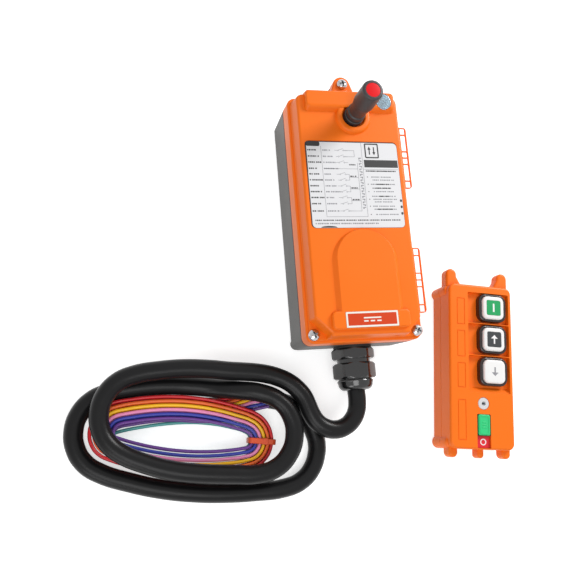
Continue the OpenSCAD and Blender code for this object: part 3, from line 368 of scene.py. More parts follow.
def make_finishes():
    """All finishes of the remote control, by name."""
    c = sizes("finishes")
    finishes.update(
        orange=finish("orange_moulding", c.orange, 0.40, mottle_and_painted_reflection=0.03, grain=0.35, grain_size=0.0007,
                      shine=0.28),
        case=finish("grey_case_moulding", c.case_grey, 0.5, mottle_and_painted_reflection=0.08, grain=0.6, grain_size=0.0009),
        seal=finish("seal_rubber", (0.02, 0.02, 0.02), 0.7, grain_size=0.0004),
        gland=finish("gland_nylon", c.black, 0.16, mottle_and_painted_reflection=0.1, grain=0.12, grain_size=0.0005, shine=0.7),
        jacket=finish("cable_jacket", c.black, 0.30, mottle_and_painted_reflection=0.12, grain=0.3, grain_size=0.0008, patch=0.012,
                      shine=0.18),
        stub=finish("antenna_rubber", c.stub, 0.45, mottle_and_painted_reflection=0.1, grain=0.4),
        cap_red=finish("antenna_disc", c.cap_red, 0.35, mottle_and_painted_reflection=0.04, shine=0.25),
        label=finish("label_film", c.label, 0.5, mottle_and_painted_reflection=0.02, grain=0.1, grain_size=0.0003),
        ink=finish("label_ink", c.ink, 0.55, mottle_and_painted_reflection=0.1, grain=0.1),
        faded=finish("label_ink_thin", (0.25, 0.25, 0.27), 0.55, mottle_and_painted_reflection=0.25, grain=0.1, patch=0.002),
        plate=finish("plate_field", c.plate, 0.42, mottle_and_painted_reflection=0.04, grain=0.1, shine=0.25),
        plate_white=finish("plate_border", (0.82, 0.80, 0.74), 0.42, mottle_and_painted_reflection=0.02, grain=0.1),
        # the chrome's strong light and dark patches are painted reflection, standing in for surroundings that
        # are not there; the board screws take this finish too
        chrome=finish("screw_chrome", (0.50, 0.50, 0.51), 0.16, mottle_and_painted_reflection=0.75, grain=0.2, grain_size=0.0004,
                      patch=0.0016, metallic=1.0),
        lens=finish("window_clear", (0.70, 0.86, 0.95), 0.12, mottle_and_painted_reflection=0.03, grain=0.05, transmission=0.75,
                    ior=1.49),
        round_lens=finish("round_window_clear", (0.62, 0.62, 0.63), 0.12, mottle_and_painted_reflection=0.1, grain=0.1, patch=0.002,
                          coat=0.5),
        holder=finish("window_ring", (0.62, 0.82, 0.93), 0.3, mottle_and_painted_reflection=0.12, grain=0.2, patch=0.004),
        lamp=finish("window_lamp", (0.09, 0.15, 0.20), 0.2, mottle_and_painted_reflection=0.8, grain=0.3, patch=0.0012),
        white=finish("cap_white", c.white, 0.3, mottle_and_painted_reflection=0.015, grain=0.12, grain_size=0.0005),
        green=finish("inlay_green", c.green, 0.34, mottle_and_painted_reflection=0.04, grain=0.15),
        key=finish("slider_green", c.key_green, 0.35, grain=0.2),
        charcoal=finish("inlay_charcoal", c.charcoal, 0.38, mottle_and_painted_reflection=0.08, grain=0.15),
        stop=finish("stop_red", c.stop_red, 0.4, grain=0.15),
        surround=finish("surround_rubber", (0.022, 0.012, 0.010), 0.22, mottle_and_painted_reflection=0.15, grain=0.2,
                        grain_size=0.0005),
        mark=finish("print_white", (0.82, 0.82, 0.82), 0.45, mottle_and_painted_reflection=0.02, grain=0.05),
        tie=finish("tie_nylon", (0.72, 0.085, 0.02), 0.42, mottle_and_painted_reflection=0.08, grain=0.3, grain_size=0.0005),
        board=finish("board_green", (0.02, 0.18, 0.06), 0.35, mottle_and_painted_reflection=0.15, grain=0.3, patch=0.004),
        relay=finish("relay_blue", (0.03, 0.12, 0.45), 0.35),
        terminal=finish("terminal_green", (0.03, 0.28, 0.07), 0.45, mottle_and_painted_reflection=0.06),
        ferrite=finish("choke_winding", (0.35, 0.13, 0.05), 0.45, mottle_and_painted_reflection=0.3, grain=0.8, grain_size=0.0012,
                       patch=0.003),
        sleeve=finish("capacitor_sleeve", (0.03, 0.04, 0.16), 0.3, mottle_and_painted_reflection=0.08),
        spring=finish("spring_plate", (0.62, 0.60, 0.52), 0.3, mottle_and_painted_reflection=0.1, metallic=1.0),
        tin=finish("shield_tin", (0.62, 0.62, 0.64), 0.3, mottle_and_painted_reflection=0.1, metallic=1.0),
        brass=finish("socket_brass", (0.75, 0.55, 0.22), 0.28, mottle_and_painted_reflection=0.1, metallic=1.0),
        fuse=finish("fuse_glass", (0.85, 0.88, 0.86), 0.08, mottle_and_painted_reflection=0.02, transmission=0.7),
        cell=finish("cell_sleeve", (0.05, 0.10, 0.30), 0.3, mottle_and_painted_reflection=0.1),
        dark=finish("inside_black", (0.018, 0.018, 0.018), 0.55, mottle_and_painted_reflection=0.1),
    )


# Cable and cores

# The coil's own place on the floor: its middle and its turn
COIL_PLACE = Matrix.Translation((-0.109, -0.134, 0)) @ Matrix.Rotation(math.radians(-8.6), 4, "Z")
# Sides of the coil from its middle, in the order in which the cable passes them: right, upper, left, lower
COIL_SIDES = (0.0752, 0.0382, -0.0652, -0.0289, 0.0624, 0.027, -0.0798, -0.0416, 0.0824, 0.0225, 0.0136)
COIL_BEND = 0.0264
COIL_POINTS = 6
COIL_HIGH = 0.0198
COIL_LOW = 0.0064
COIL_DROP = (0.87, 0.99)
COIL_STRAIGHT = 0.001
LEAD_RUN = 0.009
LEAD_POINTS = (
    (0, -0.076, 0.017), (0, -0.090, 0.017), (0, -0.104, 0.017), (0, -0.118, 0.017), (0, -0.124, 0.0171),
    (-0.0014, -0.131, 0.0174), (-0.0053, -0.137, 0.0178), (-0.011, -0.141, 0.0182), (-0.018, -0.1424, 0.0186),
    (-0.025, -0.1406, 0.019), (-0.0308, -0.1364, 0.0193), (-0.0344, -0.1306, 0.0196),
    (-0.0366, -0.1246, 0.0197), (-0.039, -0.1186, 0.0198), (-0.0431, -0.1132, 0.0198),
    (-0.0486, -0.1084, 0.0198), (-0.0554, -0.1048, 0.0198), (-0.063, -0.1022, 0.0198),
    (-0.0714, -0.1005, 0.0198), (-0.0802, -0.0994, 0.0198))

HANK_SIDES = (0.050, 0.0187, -0.0706, -0.0304)
HANK_BEND = 0.019
HANK_SPREAD = 0.00025
HANK_POINTS = 24
FIRST_TURN = 0.02
LANE = 0.0027
LAYER = 0.00276
LANES = 6
CORE_FOOT = 0.0013
CORE_GAP = 0.0021
CORE_TURNS = (1.18, 1.19, 1.22, 1.25, 1.29, 1.28, 1.18, 1.2, 1.23, 1.27, 1.3, 1.3)
CLIMB = (0.42, 0.62)
# From the cable's end to the hank, shares of the way, the widening, the zigzag, the descent and the shift
CORE_WAYS = ((0, 0, 1, 0, 0), (0.09, 0.6, 0.7, 0.45, 0.03), (0.18, 0.9, 0.3, 0.9, 0.13),
             (0.28, 1, 0, 1, 0.36), (0.48, 1, 0, 1, 0.8), (0.74, 1, 0, 1, 0.98))
MOUTH_LANE = 0.00188
MOUTH_ZIGZAG = 0.00085
MOUTH_LAYER = 0.0034
WANDER = (0.0008, 0.0006)
DRIFT = ((0, 0.0046), (0.0016, 0))
DRIFT_AT = 0.12

# From the outermost lane inwards, the lower six and then the upper six
CORE_COLOURS = {
    "brown": (0.17, 0.055, 0.035), "black": (0.014, 0.014, 0.014), "green": (0.01, 0.13, 0.045),
    "white": (0.78, 0.78, 0.82), "grey": (0.34, 0.34, 0.38), "teal": (0.10, 0.42, 0.40),
    "red": (0.60, 0.008, 0.015), "orange": (0.85, 0.14, 0.02), "yellow": (0.95, 0.52, 0.01),
    "pink": (0.85, 0.27, 0.50), "blue": (0.03, 0.045, 0.36), "violet": (0.13, 0.035, 0.26)}


def smooth(u):
    """Rises from 0 to 1 with level ends."""
    return (1 - math.cos(math.pi * max(0.0, min(1.0, u)))) / 2


def oval_point(a, b, r, q, u):
    """Point of an oval at share u of quarter q, anticlockwise from its back.

    The oval has half-length a, half-width b and end radius r; its long sides are arcs too.
    """
    k = ((a - r) ** 2 - (b - r) ** 2) / (2 * (b - r))
    long = math.atan2(a - r, k)
    first = long if q % 2 == 0 else math.pi / 2 - long
    w = math.pi / 2 * (1 + q)
    w += 2 * u * first if u < 0.5 else first + (2 * u - 1) * (math.pi / 2 - first)
    if abs(math.sin(w)) > math.cos(long):
        return (k + b) * math.cos(w), (k + b) * math.sin(w) - math.copysign(k, math.sin(w))
    return math.copysign(a - r, math.cos(w)) + r * math.cos(w), r * math.sin(w)


def coil_mouth():
    """Middle of the cable's cut end, in the coil's own place, before the last straight bit."""
    q = len(COIL_SIDES) - 3
    return (COIL_SIDES[q] + COIL_SIDES[q + 2]) / 2, COIL_SIDES[q + 1]


def cable_points():
    """The whole cable, from inside the gland to its cut end."""
    s = COIL_SIDES
    x, y = (s[0] + s[2]) / 2 + COIL_STRAIGHT, s[1]
    coil = [(x + LEAD_RUN, y, COIL_HIGH), (x, y, COIL_HIGH)]
    for i in range((len(s) - 3) * COIL_POINTS):
        q, rest = divmod(i, COIL_POINTS)
        along, across = (s[q], s[q + 2]), (s[q + 1], s[q + 3])
        if q % 2:
            along, across = across, along
        a, b = abs(along[0] - along[1]) / 2, abs(across[0] - across[1]) / 2
        px, py = oval_point(a, b, COIL_BEND, q, rest / COIL_POINTS)
        drop = smooth((i / (4 * COIL_POINTS) - COIL_DROP[0]) / (COIL_DROP[1] - COIL_DROP[0]))
        coil.append((sum(along) / 2 + px, sum(across) / 2 + py, COIL_HIGH - (COIL_HIGH - COIL_LOW) * drop))
    x, y = coil_mouth()
    coil += [(x, y, COIL_LOW), (x - 2 * COIL_STRAIGHT, y, COIL_LOW)]
    return [Vector(p) for p in LEAD_POINTS] + [COIL_PLACE @ Vector(p) for p in coil]


def hank_place(i, t):
    """Place of core i at turn t, in the coil's own place."""
    group, k = divmod(i, LANES)
    depth = k * (LANE + HANK_SPREAD * (1 - math.cos(2 * math.pi * (t - 0.75))) / 2)
    right, upper, left, lower = HANK_SIDES
    f = (t % 1) * 4
    x, y = oval_point((right - left) / 2 - depth, (upper - lower) / 2 - depth, HANK_BEND - depth,
                      int(f), f - int(f))
    near = max(0.0, math.cos(2 * math.pi * (t - DRIFT_AT)))
    sway = WANDER[0] * math.sin(2 * math.pi * t + math.radians(40))
    swing = WANDER[1] * math.sin(4 * math.pi * t + math.radians(100)) - DRIFT[group][t >= 0.5] * near ** 2
    climb = smooth((t - CLIMB[0]) / (CLIMB[1] - CLIMB[0]))
    return Vector(((right + left) / 2 + x + sway, (upper + lower) / 2 + y + swing,
                   CORE_FOOT + (2 * group + climb) * LAYER))


def core_points(i):
    """One core, from the cable's end round the hank."""
    group, k = divmod(i, LANES)
    first = hank_place(i, FIRST_TURN)
    low = hank_place(i, 0).z
    x, y = coil_mouth()
    start = Vector((x - CORE_GAP, y, COIL_LOW))
    points = []
    for way, widen, zigzag, descent, shift in CORE_WAYS:
        y = start.y + ((LANES - 1) / 2 - k) * (MOUTH_LANE + (LANE - MOUTH_LANE) * widen)
        z = start.z + (group - 0.5) * MOUTH_LAYER + (1 if k % 2 else -1) * MOUTH_ZIGZAG * zigzag
        points.append(Vector((start.x + (first.x - start.x) * way, y + (first.y - y) * shift,
                              z + (low - z) * descent)))
    n = math.ceil(CORE_TURNS[i] * HANK_POINTS)
    points += [hank_place(i, FIRST_TURN + (CORE_TURNS[i] - FIRST_TURN) * j / n) for j in range(n + 1)]
    return [COIL_PLACE @ p for p in points]


def round_curve(name, points, diameter, material, resolution, sides):
    """A smooth cord through the points."""
    data = bpy.data.curves.new(name, "CURVE")
    data.dimensions = "3D"
    data.bevel_depth = diameter / 2
    data.bevel_resolution = sides
    data.resolution_u = resolution
    data.use_fill_caps = True
    data.twist_mode = "Z_UP"
    line = data.splines.new("BEZIER")
    line.bezier_points.add(len(points) - 1)
    for knot, p in zip(line.bezier_points, points):
        knot.co = p
        knot.handle_left_type = knot.handle_right_type = "AUTO"
    made = bpy.data.objects.new(name, data)
    bpy.context.scene.collection.objects.link(made)
    data.materials.append(material)
    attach(made, "receiver")
    return made


CAMERA_PLACE = (-0.166322, -0.135861, 0.482279)
# Its axes to the right, up and back
CAMERA_AXES = ((0.9669114, -0.07857101, 0.24271163), (0.02909585, 0.97914685, 0.20105937),
               (-0.25344777, -0.1873447, 0.94903435))


class OBJECT_OT_remote_camera(bpy.types.Operator):
    """Places the camera"""
    bl_idname = "remote.camera"
    bl_label = "Camera"

    def execute(self, context):
        data = bpy.data.cameras.new("camera")
        data.sensor_width = 36
        data.lens = sizes("stage").lens
        data.clip_start = 0.01
        made = bpy.data.objects.new("camera", data)
        context.scene.collection.objects.link(made)
        made.matrix_world = Matrix.Translation(CAMERA_PLACE) @ Matrix(CAMERA_AXES).transposed().to_4x4()
        context.scene.camera = made
        return {"FINISHED"}


class OBJECT_OT_remote_cable(bpy.types.Operator):
    """Makes the black cable, from the gland through its coil to the cut end"""
    bl_idname = "remote.cable"
    bl_label = "Cable"

    def execute(self, context):
        points = cable_points()
        d = sizes("cable").cable
        made = round_curve("cable", points, d, finishes["jacket"], 5, 7)
        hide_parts("cable_lead", "cable_coil")
        return {"FINISHED"}


class OBJECT_OT_remote_cores(bpy.types.Operator):
    """Makes the twelve coloured cores"""
    bl_idname = "remote.cores"
    bl_label = "Cores"

    def execute(self, context):
        d = sizes("cable").core
        for i, (name, tint) in enumerate(CORE_COLOURS.items()):
            points = core_points(i)
            skin = finish("insulation_" + name, tint, 0.34, mottle_and_painted_reflection=0.06, grain=0.2, grain_size=0.0004,
                          patch=0.008)
            made = round_curve("wire_" + name, points, d, skin, 4, 4)
            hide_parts("core_" + name)
        return {"FINISHED"}


class OBJECT_OT_remote_tie(bpy.types.Operator):
    """Makes the band round the cores, with its lock"""
    bl_idname = "remote.tie"
    bl_label = "Tie"

    def execute(self, context):
        upper, lower = HANK_SIDES[1], HANK_SIDES[3]
        ring = sizes("cable").core / 2 + 0.0005
        middle = hank_place(0, 0.75)
        out, into = middle.x + ring, middle.x - (LANES - 1) * LANE - ring
        top, under = CORE_FOOT + 3 * LAYER + ring, CORE_FOOT + LAYER - ring
        mid = Vector(((out + into) / 2, (upper + lower) / 2, (top + under) / 2))
        thick, reach, soft = 0.0012, 0.0038, 0.0004
        hole = rect(out - into, top - under)
        outer = inset(hole, -thick)
        lip, rim = inset(outer, soft), inset(hole, -soft)
        end, flat = reach / 2, reach / 2 - soft
        levels = ((outer, 0.0030, -flat), (outer, 0.0030, flat), (lip, 0.0026, end), (rim, 0.0020, end),
                  (hole, 0.0016, flat), (hole, 0.0016, -flat), (rim, 0.0020, -end), (lip, 0.0026, -end))
        place = COIL_PLACE @ Matrix.Translation(mid) @ Matrix.Rotation(math.pi / 2, 4, "X")
        made = skinned([level(rounded(o, r, 8), z) for o, r, z in levels], place, closed=True)
        lock = prism(rect(0.0042, 0.0044, mid.x + 0.002, mid.y), 0.0008,
                     [(top + 0.0002, 0), *edge_up(top + thick + 0.0002, 0.0006)], 4, COIL_PLACE)
        combine(made, [lock], "UNION")
        dress(made, "tie_band", finishes["tie"], "receiver", ["core_tie"])
        return {"FINISHED"}


# Receiver

# Overrun of a cut
OVER = 0.001
# Cover screws: distances from the two sides, and the hole
SCREW_IN = (0.0046, 0.0056)
SCREW_BORE = 0.00215
# Lug at the antenna end: distance of its screw from the end, width at the foot, and depth
LUG_SCREW = 0.0106
LUG_BASE = 0.0245
LUG_DEEP = 0.009
# Corner pads: width, length and slanted end
PAD_WIDE = 0.0124
PAD_LONG = 0.0155
PAD_SLANT = 0.011
# Corners of the cover's inner wall, from the left notch round to the left end
WALL_RADII = (0.003, 0.003, 0.0028, 0.0028, 0.003, 0.003, 0.006, 0.006)
# Middles of the two slotted strips, each from its own end of the cover
STRIP_UPPER = 0.0427
STRIP_LOWER = 0.0409
# Low block with the voltage plate: width and length
LOW_BLOCK = (0.054, 0.012)
# Clearance of the label and of the plate in their recesses, both sides together
LABEL_GAP = 0.0006
PLATE_GAP = 0.0004
# Thickness of print
PRINT = 0.00004


def centre_of(name):
    """Middle of a node's box, seen from above."""
    low, high = BOXES[name]
    return (low.x + high.x) / 2, (low.y + high.y) / 2


def footprint(name, more=0.0):
    """Rectangle of a node's box, seen from above, made larger by more."""
    low, high = BOXES[name]
    return rect(high.x - low.x + more, high.y - low.y + more, *centre_of(name))


def lug_outline(r):
    """Outline of the ear that carries the screw at the antenna end, with end radius r."""
    s = sizes("receiver")
    y = s.length / 2 + LUG_SCREW
    foot = s.length / 2 - s.corner
    touch = math.asin((LUG_BASE / 2 - r) / (y - foot))
    return [(LUG_BASE / 2, foot), *arc(0, y, r, 14, touch, math.pi - 2 * touch), (-LUG_BASE / 2, foot)]


def screw_places():
    """Axes of the three cover screws."""
    s = sizes("receiver")
    x, y = s.width / 2 - SCREW_IN[0], s.length / 2 - SCREW_IN[1]
    return [(-x, -y), (x, -y), (0.0, s.length / 2 + LUG_SCREW)]


def screw_holes(low, high, segments):
    """Cuts for the three cover screws."""
    return [spun([(SCREW_BORE, low), (SCREW_BORE, high)], x, y, segments) for x, y in screw_places()]


def along_cable():
    """The gland's own frame: upright here is out along the cable."""
    root = Matrix.Translation((0, -sizes("receiver").length / 2, sizes("cable").axis))
    return root @ Matrix.Rotation(math.pi / 2, 4, "X")


class OBJECT_OT_remote_case(bpy.types.Operator):
    """Makes the grey rear case"""
    bl_idname = "remote.case"
    bl_label = "Rear case"

    def execute(self, context):
        s = sizes("receiver")
        rim = BOXES["rear_case"][1].z
        edge, ear_radius, ear_edge, post, bore = 0.0016, 0.0060, 0.0012, 0.0042, 0.01135
        outline = rect(s.width, s.length)
        levels = [(z, d + s.draft * (1 - z / rim)) for z, d in edge_down(0, edge)]
        made = prism(outline, s.corner, [*levels, (rim, 0)], 8)
        ear = plain_prism(lug_outline(ear_radius), [*edge_down(rim - LUG_DEEP, ear_edge), (rim, 0)])
        combine(made, [ear], "UNION")
        room = prism(inset(outline, s.draft + s.wall), s.corner - s.wall, [(s.wall, 0), (rim + OVER, 0)], 5)
        combine(made, [room], "DIFFERENCE")
        posts = [spun([(post, s.wall / 2), (post, rim)], x, y, 24) for x, y in screw_places()[:2]]
        combine(made, posts, "UNION")
        gland_hole = spun([(bore, -0.004), (bore, 0.012)], segments=40, place=along_cable())
        combine(made, [gland_hole, *screw_holes(s.wall, rim + OVER, 20)], "DIFFERENCE")
        dress(made, "rear_case_shell", finishes["case"], "receiver", ["rear_case"])
        return {"FINISHED"}


def notched(s, depth):
    """Outline of the cover's inner wall, cut back at the two lower corners."""
    x, y = s.width / 2 - s.step - depth, s.length / 2 - s.step - depth
    pad_x, pad_y = s.width / 2 - PAD_WIDE - depth, s.length / 2 - PAD_LONG - depth
    notch = -(pad_y + PAD_SLANT)
    across = x - pad_x
    reach = x - s.right
    left = [(-x, notch + across), (-pad_x, notch), (-pad_x, -y)]
    right = [(pad_x, -y), (pad_x, notch), (reach, notch + across - s.right)]
    return [*left, *right, (reach, y), (-x, y)]


def tongue_plan(half, top, foot):
    """Outline of the tongue: round at the label and straight at the low block."""
    return [(half, foot), *arc(0, top - half, half, 30), (-half, foot)]


class OBJECT_OT_remote_cover(bpy.types.Operator):
    """Makes the orange cover with its block, tongue, ring, pads and strips"""
    bl_idname = "remote.cover"
    bl_label = "Front cover"

    def strip(self, s, y):
        """One slotted strip on the right side."""
        reach, run, thick, root, line = 0.0054, 0.046, 0.0016, 0.0013, 0.0009
        square, soft, edge, slot_corner = 0.0002, 0.0022, 0.0003, 0.0004
        base = s.flange_top - thick
        made = prism(rect(reach + root, run, (s.width + reach - root) / 2, y), [square, soft, soft, square],
                     [(base, 0), *edge_up(s.flange_top, edge, steps=3)], 5)
        slot_shares = (0.1, 0.26, 0.09, 0.09, 0.26, 0.1)
        gap = run * (1 - sum(slot_shares)) / (len(slot_shares) + 1)
        place = y - run / 2
        cuts = []
        for share in slot_shares:
            place += gap
            slot = rect(reach - 1.5 * line, share * run, s.width / 2 + reach / 2 - line / 4,
                        place + share * run / 2)
            cuts.append(prism(slot, slot_corner, [(base - OVER, 0), (s.flange_top + OVER, 0)], 3))
            place += share * run
        combine(made, cuts, "DIFFERENCE")
        return made

    def raised_block(self, s):
        """The block at the antenna end, with its stepped sides."""
        deep, back, narrower, corner = 0.014, 0.001, 0.0104, 0.0026
        y0, y1 = s.length / 2 - back - deep, s.length / 2 - back
        half = (s.width - 2 * s.step - 2 * s.taper - narrower) / 2
        top = s.face + s.block
        loops = []
        # height, how far the front stands out, and inset of all sides
        for z, front, d in ((s.flange_top - 0.001, 0.0012, 0), (s.face - 0.001, 0.0012, 0),
                            (s.face, 0.0009, 0.0002), (top - 0.0012, -0.0004, 0.0004),
                            (top - 0.0004, -0.0010, 0.0009), (top, -0.0018, 0.0016)):
            plan = [(-half + d, y0 - front + d), (half - d, y0 - front + d), (half - d, y1 - d),
                    (-half + d, y1 - d)]
            loops.append(level(rounded(plan, corner), z))
        return skinned(loops)

    def tongue(self, s, foot):
        """The tongue, with sides that slope to the face."""
        gap, half, slope, tall, step = 0.0017, 0.020, 0.003, 0.0024, 0.0008
        top = BOXES["wiring_label"][0].y - gap
        # height, share of the slope at the sides, and share of the step at the round end
        levels = ((s.face - 0.001, 1.02, 0), (s.face, 1, 0), (s.face + 0.0003, 0.86, 0.1),
                  (s.face + tall - 0.0006, 0.18, 0.8), (s.face + tall - 0.0002, 0.05, 0.94),
                  (s.face + tall, -0.1, 1))
        return skinned([level(tongue_plan(half + slope * out, top + step * (1 - back), foot), z)
                        for z, out, back in levels])

    def body(self, s, joint):
        """The flange with the pads, the inner wall and the lug, all solid."""
        made = prism(rect(s.width, s.length), s.corner,
                     [*edge_down(joint, 0.0004, steps=2), *edge_up(s.flange_top, 0.0014)], 8)
        root = s.flange_top - 0.002
        pads = prism(rect(s.width - 2 * s.step - s.right, s.length - 2 * s.step, -s.right / 2, 0),
                     s.corner - s.step + 0.001, [(root, 0), *edge_up(s.pad, 0.0009)], 8)
        slope = s.taper / (s.face - s.flange_top)
        upper = [(z, d + slope * (z - s.flange_top)) for z, d in edge_up(s.face, s.round_edge)]
        wall = prism(notched(s, 0), WALL_RADII, [(root, 0), *upper])
        ear = plain_prism(lug_outline(0.0062),
                          [*edge_down(s.pad - LUG_DEEP, 0.0004, steps=2), *edge_up(s.pad, 0.0012)])
        return made, pads, wall, ear

    def antenna_seat(self, s):
        """The ring round the antenna, the hole in it and the shaft below."""
        top = s.face + 0.0026
        ring = ((0.0128, s.face - 0.002), (0.0128, s.face), (0.0122, top - 0.0014), (0.0118, top - 0.0006),
                (0.0112, top - 0.0002), (0.0104, top), (0.006, top))
        hole = ((0.0082, s.face - 0.0016), (0.0082, top - 0.0006), (0.0092, top + 0.0004))
        shaft = ((0.0052, s.face - 0.006), (0.0052, s.face))
        return [spun(profile, *centre_of("antenna_stub"), count)
                for profile, count in ((ring, 64), (hole, 64), (shaft, 32))]

    def cuts(self, s, joint):
        """The rooms inside, the recesses of label and plate, the window's hole and the small notch."""
        # the flange keeps a roof one wall thick
        roof = s.flange_top - s.wall
        room = prism(inset(rect(s.width, s.length), s.wall), s.corner - s.wall,
                     [(joint - OVER, 0), (roof, 0)], 4)
        upper_room = prism(notched(s, s.wall + s.taper), 0.0012, [(roof - OVER, 0), (s.face - s.wall, 0)], 3)
        label_low, plate = BOXES["wiring_label"][0].z, BOXES["voltage_plate"]
        recess = prism(footprint("wiring_label", LABEL_GAP), 0.0032, [(label_low, 0), (s.face + OVER, 0)])
        seat = prism(footprint("voltage_plate", PLATE_GAP), 0.0002,
                     [(plate[0].z, 0), (plate[1].z + OVER, 0)], 2)
        top = s.face + s.block
        window = spun([(0.0058, s.face - 0.006), (0.0058, top - 0.0002), (0.0062, top + 0.0002)],
                      *centre_of("status_window"), 48)
        notch = prism(rect(0.003, 0.0052, 0.0205, -s.length / 2 + 0.0018), 0.0003,
                      [(s.pad + 0.0016, 0), (s.pad + 0.0034, 0)], 2)
        return room, upper_room, recess, seat, window, notch

    def execute(self, context):
        s = sizes("receiver")
        joint = BOXES["case_seal"][1].z
        made, pads, wall, ear = self.body(s, joint)
        ring, hole, shaft = self.antenna_seat(s)
        block_y = centre_of("voltage_plate")[1]
        low_block = prism(rect(*LOW_BLOCK, 0, block_y), 0.0030,
                          [(s.face - 0.001, -0.0006), *edge_up(BOXES["voltage_plate"][1].z, 0.0014)])
        strips = [self.strip(s, s.length / 2 - STRIP_UPPER), self.strip(s, STRIP_LOWER - s.length / 2)]
        combine(made, [pads, wall, self.raised_block(s), ring, self.tongue(s, block_y), low_block, ear,
                       *strips], "UNION")
        room, upper_room, recess, seat, window, notch = self.cuts(s, joint)
        combine(made, [room, upper_room, recess, seat, hole, shaft, window, notch,
                       *screw_holes(joint - OVER, s.pad + OVER, 24)], "DIFFERENCE")
        dress(made, "front_cover_shell", finishes["orange"], "receiver", ["front_cover"])
        return {"FINISHED"}


# Label, plate and window

def mark(bm, points, base):
    """A thin printed shape."""
    loft(bm, [level(points, z) for z in (base, base + PRINT)])


def stroke(bm, a, b, width, base):
    """A thin printed line from a to b."""
    a, b = Vector(a), Vector(b)
    side = (b - a).normalized().orthogonal() * (width / 2)
    mark(bm, [a - side, b - side, b + side, a + side] if (b - a).cross(side) > 0 else
         [a + side, b + side, b - side, a - side], base)


def ring_mark(bm, x, y, outer, inner, count, base):
    """A thin printed ring."""
    top = base + PRINT
    loft(bm, [level(circle(x, y, r, count), z)
              for r, z in ((outer, base), (outer, top), (inner, top), (inner, base))], closed=True)


class LabelPlan:
    """Places on the label by shares of its width from the left and of its length from the top."""

    def __init__(self):
        self.low, self.high = BOXES["wiring_label"]
        self.top = self.high.z + 0.00001

    def at(self, u, v):
        """The place at two shares."""
        return (self.low.x + (self.high.x - self.low.x) * u, self.high.y - (self.high.y - self.low.y) * v)

    def line(self, bm, u0, v0, u1, v1, width=0.00022):
        """A printed line between two places."""
        stroke(bm, self.at(u0, v0), self.at(u1, v1), width, self.top)

    def patch(self, bm, u0, v0, u1, v1, radius=0.0001):
        """A printed rectangle between two corners."""
        (x0, y0), (x1, y1) = self.at(u0, v1), self.at(u1, v0)
        mark(bm, rounded(rect(x1 - x0, y1 - y0, (x0 + x1) / 2, (y0 + y1) / 2), radius, 3), self.top)

    def dashes(self, bm, u0, u1, v, tall, start):
        """A row of small blocks of uneven width, in place of a line of print."""
        widths = (0.012, 0.017, 0.009, 0.014, 0.019, 0.011, 0.016)
        i = start
        while u0 < u1 - 0.008:
            wide = min(widths[i % len(widths)], u1 - u0)
            self.patch(bm, u0, v - tall / 2, u0 + wide, v + tall / 2, 0.00005)
            u0 += wide + (0.014 if i % 6 == 5 else 0.005)
            i += 1

    def contact(self, bm, u, v):
        """Sign of a switch contact: two small rings and an open lever."""
        for shift in (0, 0.055):
            ring_mark(bm, *self.at(u + shift, v), 0.00048, 0.00028, 12, self.top)
        self.line(bm, u + 0.008, v - 0.006, u + 0.052, v - 0.022)


ROW_SHARES = (0.107, 0.18, 0.25, 0.322, 0.387, 0.455, 0.523, 0.59, 0.657, 0.727, 0.81)
NOTE_SHARES = (0.345, 0.415, 0.45, 0.50, 0.545, 0.585, 0.64, 0.675, 0.705, 0.755, 0.79, 0.85)
# Headings between the notes: share of the length, and half of their own share of the width
HEADING_SHARES = ((0.345, 0.17), (0.50, 0.07), (0.545, 0.09), (0.64, 0.05), (0.79, 0.08))


